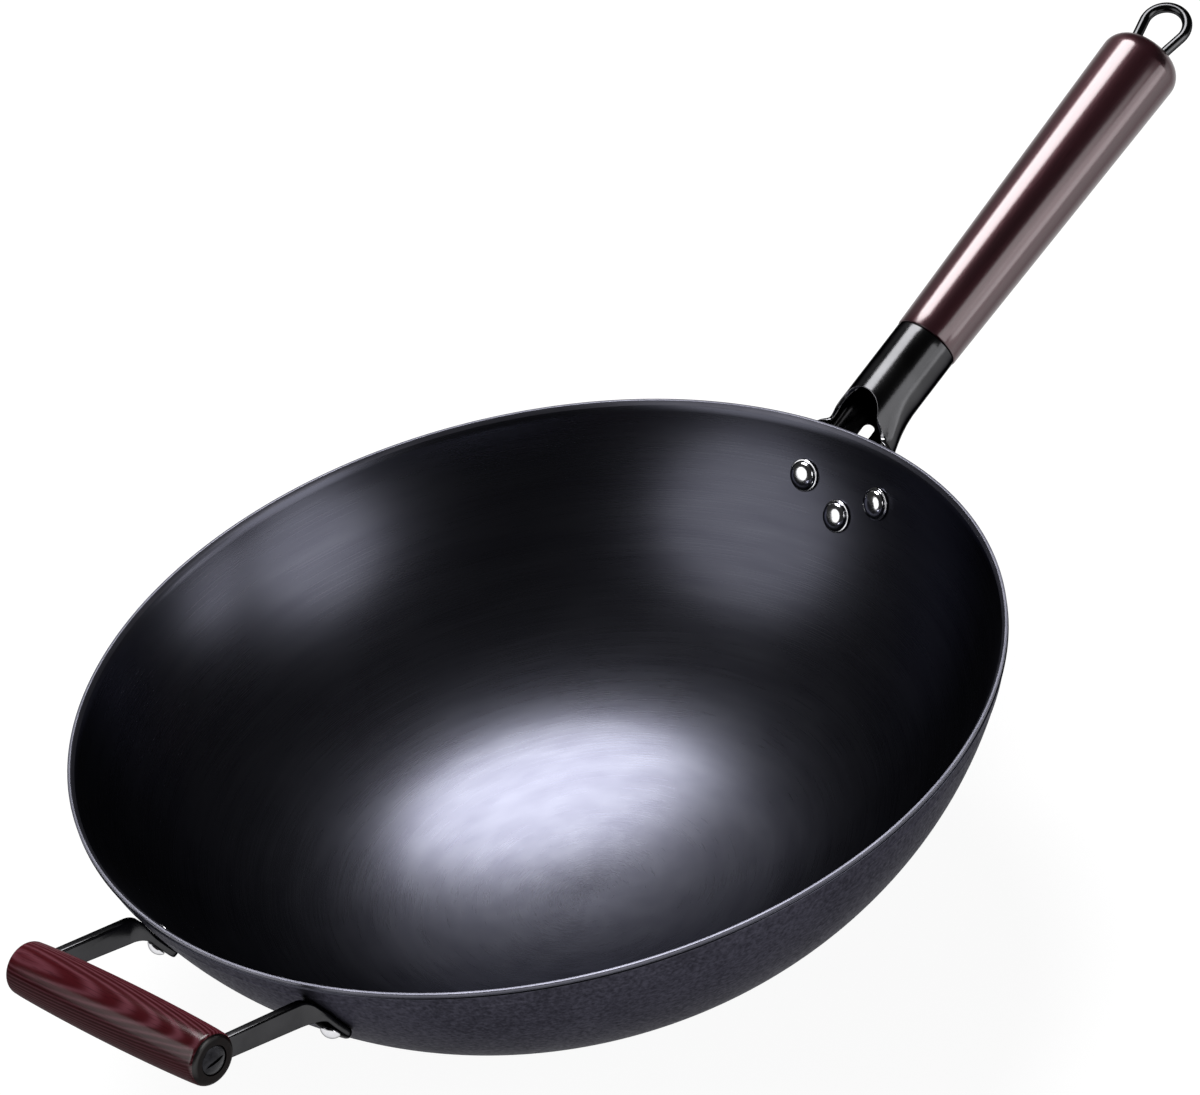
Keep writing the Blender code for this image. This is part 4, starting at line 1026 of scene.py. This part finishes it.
def screw_spot():
    """Where the screw crosses the outside of the tube, and the way its head faces."""
    return along_handle(SEAM_REACH - SCREW_INSET) - HANDLE_TOP * TUBE_RADIUS, -HANDLE_TOP


# The sheet's faces, and its cut edge with its wear and its painted highlight
COATED, WORN_HIGHLIT = range(2)


def handle_bracket():
    """The tube is one sheet with an arch cut into its top, two wings, a tongue and two slots."""
    pads = petal_pads()
    outline = []
    for angle in steps_between(0.0, math.pi, OUTLINE_SAMPLES):
        outline.append((angle, sheet_length(Petal(angle), angle, pads)))
    outline = eased(even_outline(outline, 3 * PETAL_SEGMENTS))
    half = []
    for angle, length in even_outline(outline, PETAL_SEGMENTS):
        petal = Petal(angle)
        line = []
        for run, offset in sheet_section(petal, length):
            place, facing = petal.at(run)
            line.append(place + facing * offset)
        half.append(line)
    flip = Matrix.Scale(-1.0, 3, ACROSS)
    lines = half + [[flip @ point for point in line] for line in half[-2:0:-1]]
    middle = len(lines[0]) // 2
    edge = range(middle - CORNER_STEPS - 1, middle + CORNER_STEPS)
    mesh = grid_mesh("handle_bracket_fine", lines, lambda i: WORN_HIGHLIT if i in edge else COATED)
    made = add_piece("handle_bracket", mesh, [BLACK_STEEL, WORN_HIGHLIT_EDGE])
    for _, (place, normal) in HANDLE_RIVETS:
        drill(made, LARGE_RIVET[0] + CLEARANCE, SHEET * 6.0, aimed(normal, place))
    for sign in (1, -1):
        take_away(made, slot_mesh(sign))
    place, direction = screw_spot()
    drill(made, SCREW_SHANK_RADIUS + CLEARANCE, SHEET * 4.0, aimed(direction, place))
    smoothed(made.data)


def fastener(node, outline, placement, slot):
    """A turned screw, bolt or nut with a driver slot across its top."""
    mesh = turned(node + "_fine", rounded(outline, FASTENER_EDGE), FASTENER_SEGMENTS)
    made = add_piece(node, mesh, [DARK_STEEL], placement)
    reach = max(radius for radius, _ in outline)
    width, depth = slot
    bm = bmesh.new()
    bmesh.ops.create_cube(bm, size=1.0)
    bmesh.ops.scale(bm, vec=(reach * SLOT_OVERRUN, width, depth * 2.0), verts=bm.verts)
    top = Matrix.Translation((0.0, 0.0, outline[-1][1]))
    take_away(made, finish_mesh("driver_slot", bm), placement @ top)
    smoothed(made.data)


def grip_screw():
    place, direction = screw_spot()
    outline = [
        (0.0, -SCREW_LENGTH),
        (SCREW_TIP_RADIUS, -SCREW_LENGTH),
        (SCREW_SHANK_RADIUS, -SCREW_LENGTH + SCREW_SHANK_RADIUS),
        (SCREW_SHANK_RADIUS, CLEARANCE),
    ]
    outline += domed_head(CLEARANCE, SCREW_HEAD_RADIUS, SCREW_HEAD_HEIGHT, SCREW_HEAD_LIP)
    fastener("grip_screw", outline, aimed(direction, place), SCREW_SLOT)


def long_grip():
    shoulder = CLEARANCE
    tenon = TUBE_RADIUS - SHEET - CLEARANCE
    end = shoulder + GRIP_LENGTH
    flat = GRIP_END_RADIUS - GRIP_END_ROUNDING
    swell = end - GRIP_END_ROUNDING
    outline = [(0.0, -TENON_LENGTH), (tenon, -TENON_LENGTH), (tenon, shoulder)]
    for share in steps_between(0.0, 1.0, GRIP_STEPS)[:-1]:
        width = GRIP_FERRULE_RADIUS + (GRIP_END_RADIUS - GRIP_FERRULE_RADIUS) * share
        outline.append((width, shoulder + (swell - shoulder) * share))
    outline += arc((flat, swell), GRIP_END_ROUNDING, 0.0, 90.0, LONG_CURVE_STEPS)
    outline += [(0.0, end)]
    mesh = turned("long_grip_fine", rounded(outline, GRIP_EDGE), GRIP_SEGMENTS)
    placement = aimed(HANDLE_AXIS, along_handle(SEAM_REACH))
    add_piece("long_grip", mesh, [LONG_GRIP_WOOD], placement)


def loop_line():
    """Middle of the wire as (along the handle from the wood's end, sideways)."""
    spread = math.hypot(LOOP_REACH, LOOP_LEG_ACROSS)
    touch = math.atan2(LOOP_LEG_ACROSS, -LOOP_REACH) - math.acos(LOOP_RING_RADIUS / spread)
    ring = arc((LOOP_REACH, 0.0), LOOP_RING_RADIUS, math.degrees(touch), 0.0, LOOP_RING_STEPS)
    half = [(-LOOP_LEG_LENGTH, LOOP_LEG_ACROSS), (CLEARANCE, LOOP_LEG_ACROSS)] + ring
    return half + [(along, -aside) for along, aside in half[-2::-1]]


def hanging_loop():
    curve = bpy.data.curves.new("hanging_loop_fine", "CURVE")
    curve.dimensions = "3D"
    curve.bevel_depth = LOOP_WIRE_RADIUS
    curve.bevel_resolution = LOOP_WIRE_RESOLUTION
    curve.use_fill_caps = True
    side = ACROSS * math.cos(LOOP_ROLL) + HANDLE_TOP * math.sin(LOOP_ROLL)
    middle = along_handle(SEAM_REACH + CLEARANCE + GRIP_LENGTH) + side * LOOP_OFFSET
    line = [middle + HANDLE_AXIS * along + side * aside for along, aside in loop_line()]
    spline = curve.splines.new("POLY")
    spline.points.add(len(line) - 1)
    for point, place in zip(spline.points, line):
        point.co = (*place, 1.0)
    add_piece("hanging_loop", curve, [BLACK_STEEL])


HELPER_FRAME = Matrix.Rotation(HELPER_TURN, 4, "Z")
HELPER_CENTRE = Vector((-RIM_RADIUS - HELPER_REACH, 0.0, RIM_HEIGHT + HELPER_RISE))
STRAP_ALONG = Vector((math.cos(STRAP_TILT), 0.0, -math.sin(STRAP_TILT)))
STRAP_TALL = Vector((math.sin(STRAP_TILT), 0.0, math.cos(STRAP_TILT)))
STRAP_PLANE = HELPER_HALF_LENGTH - STRAP_INSET


def strap_axis(sign):
    """Where the bolt's axis crosses the middle of an arm."""
    return HELPER_CENTRE + ACROSS * sign * STRAP_PLANE


def mortise_mesh(sign):
    """Slot for an arm's round end, a clearance wider all round."""
    half_height = STRAP_HEIGHT / 2.0 + CLEARANCE
    half_width = STRAP_THICKNESS / 2.0 + CLEARANCE
    outline = arc((0.0, 0.0), half_height, 90.0, 270.0, 2 * CURVE_STEPS)
    outline += [(2.0 * HELPER_RADIUS, -half_height), (2.0 * HELPER_RADIUS, half_height)]
    middle = strap_axis(sign)
    sides = []
    for side in (-half_width, half_width):
        places = [middle + STRAP_ALONG * x + STRAP_TALL * z + ACROSS * side for x, z in outline]
        sides.append(places)
    return grid_mesh("mortise", sides, closed=False)


BARREL, BARREL_END = range(2)


def helper_grip():
    """The barrel is bored for the bolt, recessed at both ends and mortised for the two arms."""
    flat = HELPER_END_RADIUS - HELPER_ROUNDING
    bore = BOLT_RADIUS + CLEARANCE
    recess = BOLT_HEAD_RADIUS + CLEARANCE
    straight = HELPER_HALF_LENGTH - HELPER_ROUNDING
    floor = HELPER_HALF_LENGTH - BOLT_SEAT_DEPTH
    swell = HELPER_RADIUS - HELPER_END_RADIUS

    def barrel_zone(first, second):
        near = min(abs(first[1]), abs(second[1]))
        return BARREL_END if near > straight + HELPER_ROUNDING / 2.0 else BARREL

    outline = [(bore, -floor), (recess, -floor), (recess, -HELPER_HALF_LENGTH)]
    outline += arc((flat, -straight), HELPER_ROUNDING, -90.0, 0.0, CURVE_STEPS)
    for share in steps_between(-1.0, 1.0, 2 * LONG_CURVE_STEPS)[1:-1]:
        width = HELPER_END_RADIUS + swell * math.cos(share * math.pi / 2.0) ** HELPER_FULLNESS
        outline.append((width, straight * share))
    outline += arc((flat, straight), HELPER_ROUNDING, 0.0, 90.0, CURVE_STEPS)
    outline += [(recess, HELPER_HALF_LENGTH), (recess, floor), (bore, floor)]
    mesh = turned("helper_grip_fine", outline, HELPER_SEGMENTS, barrel_zone)
    placement = HELPER_FRAME @ aimed(ACROSS, HELPER_CENTRE)
    made = add_piece("helper_grip", mesh, [HELPER_WOOD, END_GRAIN_AND_SHADE], placement)
    for sign in (1, -1):
        take_away(made, mortise_mesh(sign), HELPER_FRAME)


def rounded_section(centre, tall, tall_half, wide, wide_half):
    """Ring of points: a rectangle with rounded corners."""
    edge = min(STRAP_EDGE, tall_half * STRAP_EDGE_SHARE, wide_half * STRAP_EDGE_SHARE)
    turned_corner = arc((0.0, 0.0), 1.0, 0.0, 90.0, SECTION_CORNER_STEPS)
    ring = []
    for up, side in ((1, 1), (-1, 1), (-1, -1), (1, -1)):
        corner = turned_corner if up * side > 0 else turned_corner[::-1]
        for a, b in corner:
            height = up * (tall_half - edge + edge * a)
            width = side * (wide_half - edge + edge * b)
            ring.append(centre + tall * height + wide * width)
    return ring


def foot_point(sign, drop):
    """Middle of the foot, the way it faces, and the way it runs down the wall."""
    seat = CLEARANCE + FOOT_THICKNESS / 2.0
    place, normal = wall_spot(-1, sign * STRAP_PLANE, drop, seat)
    below = wall_spot(-1, sign * STRAP_PLANE, drop + MM, seat)[0]
    return place, normal, (below - place).normalized()


def foot_side(normal, downwards):
    """Direction across a foot, towards +Y."""
    side = normal.cross(downwards).normalized()
    return side if side.y > 0.0 else -side


def foot_ring(sign, drop, half_width):
    """Section of the foot where it lies on the wall this far below the rim."""
    place, normal, downwards = foot_point(sign, drop)
    side = foot_side(normal, downwards)
    return rounded_section(place, -normal, FOOT_THICKNESS / 2.0, side, half_width)


def end_rings(middle):
    """Round end of an arm about the bolt."""
    rings = []
    for turn in steps_between(-TIP_TURN, -END_TURN, END_STEPS):
        half = STRAP_HEIGHT / 2.0 * math.cos(turn)
        centre = middle + STRAP_ALONG * STRAP_HEIGHT / 2.0 * math.sin(turn)
        rings.append(rounded_section(centre, STRAP_TALL, half, ACROSS, STRAP_THICKNESS / 2.0))
    return rings


def landing_on_wall(start):
    """Where the middle of the bar would meet the middle of the foot."""
    seat = CLEARANCE + FOOT_THICKNESS / 2.0

    def clear(run):
        return off_wall(start + STRAP_ALONG * run)[0] > seat

    return start + STRAP_ALONG * last_clear(clear, RIM_RADIUS + HELPER_REACH)


def foot_top_drop():
    """How far below the rim an arm's bend ends and its flat foot starts."""
    corner = landing_on_wall(strap_axis(1))
    return RIM_HEIGHT - corner.z + STRAP_BEND_LENGTH * math.sin(slope_at(corner.z))


def bend_rings(sign):
    """The bar turns down to the wall while it is forged flat and wide."""
    corner = landing_on_wall(strap_axis(sign))
    foot_top, normal, downwards = foot_point(sign, foot_top_drop())
    side = foot_side(normal, downwards)
    first = corner - STRAP_ALONG * STRAP_BEND_LENGTH
    pulled_first = first.lerp(corner, STRAP_BEND_PULL)
    pulled_last = foot_top.lerp(corner, STRAP_BEND_PULL)
    rings = []
    for share in steps_between(0.0, 1.0, 2 * CURVE_STEPS):
        rest = 1.0 - share
        centre = first * rest**3 + pulled_first * 3.0 * share * rest**2
        centre += pulled_last * 3.0 * share**2 * rest + foot_top * share**3
        heading = (pulled_first - first) * rest**2
        heading += (pulled_last - pulled_first) * 2.0 * share * rest
        heading += (foot_top - pulled_last) * share**2
        flattened = share**2 * (3.0 - 2.0 * share)
        wide = ACROSS.lerp(side, flattened).normalized()
        tall = heading.cross(wide).normalized()
        low = STRAP_HEIGHT / 2.0 + (FOOT_THICKNESS - STRAP_HEIGHT) / 2.0 * flattened
        away, facing = off_wall(centre)
        towards_wall = max(-facing.dot(tall), 0.1)  # kept off zero, because it divides
        top = min(low, (away - CLEARANCE) / towards_wall)
        half_width = STRAP_THICKNESS / 2.0 + (FOOT_WIDTH - STRAP_THICKNESS) / 2.0 * flattened
        middle = centre + tall * (top - low) / 2.0
        rings.append(rounded_section(middle, tall, (top + low) / 2.0, wide, half_width))
    return rings


def strap_rings(sign):
    """Rings along one arm: the round end, the straight bar, the bend and the flat foot."""
    rings = end_rings(strap_axis(sign)) + bend_rings(sign)
    half_width = FOOT_WIDTH / 2.0
    top = foot_top_drop()
    round_start = top + HELPER_RIVET_INSET + FOOT_PAST_RIVET - half_width
    for share in steps_between(0.0, 1.0, FOOT_STEPS)[1:]:
        rings.append(foot_ring(sign, top + (round_start - top) * share, half_width))
    for turn in steps_between(0.0, TIP_TURN, CURVE_STEPS)[1:]:
        drop = round_start + half_width * math.sin(turn)
        rings.append(foot_ring(sign, drop, half_width * math.cos(turn)))
    return rings


def helper_rivet_spot(sign):
    return wall_spot(-1, sign * STRAP_PLANE, foot_top_drop() + HELPER_RIVET_INSET)


def helper_strap(node, sign):
    mesh = grid_mesh(node + "_fine", strap_rings(sign), closed=False)
    made = add_piece(node, mesh, [BLACK_STEEL], HELPER_FRAME)
    through_arm = HELPER_FRAME @ aimed(ACROSS, strap_axis(sign))
    drill(made, BOLT_RADIUS + CLEARANCE, STRAP_THICKNESS * 3.0, through_arm)
    place, normal = helper_rivet_spot(sign)
    through_foot = HELPER_FRAME @ aimed(normal, place)
    drill(made, SMALL_RIVET[0] + CLEARANCE, FOOT_THICKNESS * 6.0, through_foot)
    smoothed(made.data)


def helper_bolt():
    """The head lies in the right end of the barrel, and the tip stands in the nut on the left."""
    tip = -(BOLT_SEAT + NUT_HEIGHT - NUT_SLOT[1] - CLEARANCE)
    outline = [(0.0, tip), (BOLT_RADIUS, tip), (BOLT_RADIUS, BOLT_SEAT)]
    outline += domed_head(BOLT_SEAT, BOLT_HEAD_RADIUS, BOLT_HEAD_HEIGHT, BOLT_HEAD_LIP)
    placement = HELPER_FRAME @ aimed(-ACROSS, HELPER_CENTRE)
    fastener("helper_bolt", outline, placement, BOLT_SLOT)


def helper_nut():
    """A round nut with a slot across its face, screwed on the bolt's tip."""
    bore = BOLT_RADIUS + CLEARANCE
    outline = [(bore, 0.0), (NUT_RADIUS, 0.0), (NUT_RADIUS, NUT_HEIGHT), (bore, NUT_HEIGHT)]
    placement = HELPER_FRAME @ aimed(ACROSS, HELPER_CENTRE + ACROSS * BOLT_SEAT)
    fastener("helper_nut", outline, placement, NUT_SLOT)


wok()
for node, spot in HANDLE_RIVETS:
    rivet(node, AT_ORIGIN, spot, LARGE_RIVET, CLEARANCE + SHEET)
for node, sign in (("helper_rivet_left", 1), ("helper_rivet_right", -1)):
    rivet(node, HELPER_FRAME, helper_rivet_spot(sign), SMALL_RIVET, CLEARANCE + FOOT_THICKNESS)
handle_bracket()
long_grip()
grip_screw()
hanging_loop()
helper_grip()
helper_strap("helper_strap_left", 1)
helper_strap("helper_strap_right", -1)
helper_bolt()
helper_nut()


# Floor, lamps and camera


def floor():
    """Pale floor that reads as white where it is lit and keeps the object's soft shadow."""
    pale = Finish("pale_floor")
    path = pale.add("ShaderNodeLightPath").outputs
    seen = pale.math("MAXIMUM", path["Is Camera Ray"], path["Is Glossy Ray"])
    seen = pale.math("MAXIMUM", seen, path["Is Transmission Ray"])
    pale.shade({"Base Color": (0.14, 0.14, 0.14), "Roughness": 0.9, "Specular IOR Level": 0.0})
    glow = pale.math("MULTIPLY", seen, FLOOR_GLOW)
    pale.shade({"Emission Color": (1.0, 1.0, 1.0), "Emission Strength": glow})
    bm = bmesh.new()
    bmesh.ops.create_grid(bm, x_segments=1, y_segments=1, size=FLOOR_SIZE)
    made = new_object("floor", finish_mesh("floor", bm))
    made.location.z = -FLOOR_GAP
    made.data.materials.append(pale.material)


def towards(azimuth, elevation):
    """Direction at an azimuth from +X towards +Y and an elevation, both in degrees."""
    azimuth = math.radians(azimuth)
    elevation = math.radians(elevation)
    level = Vector((math.cos(azimuth), math.sin(azimuth), 0.0))
    return level * math.cos(elevation) + UPWARDS * math.sin(elevation)


def lamp(name, azimuth, elevation, spread, radiance, distance, aim):
    """A round soft lamp that looks at a point, from which it reaches out by spread degrees."""
    data = bpy.data.lights.new(name, "AREA")
    data.shape = "DISK"
    radius = distance * math.tan(math.radians(spread))
    data.size = 2.0 * radius
    data.energy = radiance * math.pi * math.pi * radius**2
    made = new_object(name, data)
    away = towards(azimuth, elevation)
    made.matrix_world = aimed(away, aim + away * distance)
    made.visible_camera = False


def camera():
    """Stands where the photograph was taken from, rolled as it was held."""
    data = bpy.data.cameras.new("camera")
    data.sensor_width = SENSOR_WIDTH
    data.lens = FOCAL_PIXELS / PICTURE_WIDTH * SENSOR_WIDTH
    data.clip_start = CLIP_START
    data.clip_end = CLIP_END
    made = new_object("camera", data)
    back = towards(CAMERA_AZIMUTH, CAMERA_ELEVATION)
    level = (-back).cross(UPWARDS).normalized()
    upright = level.cross(-back)
    right = level * math.cos(CAMERA_ROLL) + upright * math.sin(CAMERA_ROLL)
    up = upright * math.cos(CAMERA_ROLL) - level * math.sin(CAMERA_ROLL)
    place = back * CAMERA_DISTANCE + right * CAMERA_ASIDE + up * CAMERA_UP
    place += UPWARDS * RIM_HEIGHT
    axes = Matrix((right, up, back)).transposed().to_4x4()
    made.matrix_world = Matrix.Translation(place) @ axes
    bpy.context.scene.camera = made


def studio():
    world = bpy.data.worlds.new("studio")
    world.use_nodes = True
    background = world.node_tree.nodes["Background"]
    background.inputs["Color"].default_value = (1.0, 1.0, 1.0, 1.0)
    background.inputs["Strength"].default_value = SKY_LIGHT
    scene = bpy.context.scene
    scene.world = world
    scene.view_settings.view_transform = "Standard"


floor()
BOWL_MIDDLE = UPWARDS * RIM_HEIGHT / 2.0
GRIP_MIDDLE = along_handle(SEAM_REACH + GRIP_LENGTH / 2.0)
# Azimuth, elevation and spread in degrees, radiance, distance, and what the lamp looks at
lamp("back_softbox", 49.2, 61.4, 16.2, 10.8, 1.3, BOWL_MIDDLE)
lamp("back_glow", 56.0, 22.0, 19.0, 0.3, 1.6, BOWL_MIDDLE)
lamp("left_softbox", -78.5, 20.5, 16.0, 2.3, 1.6, BOWL_MIDDLE)
lamp("right_softbox", 158.5, 27.5, 22.5, 1.42, 1.6, BOWL_MIDDLE)
lamp("handle_softbox", -68.0, 0.0, 14.0, 2.3, 0.6, GRIP_MIDDLE)
camera()
studio()
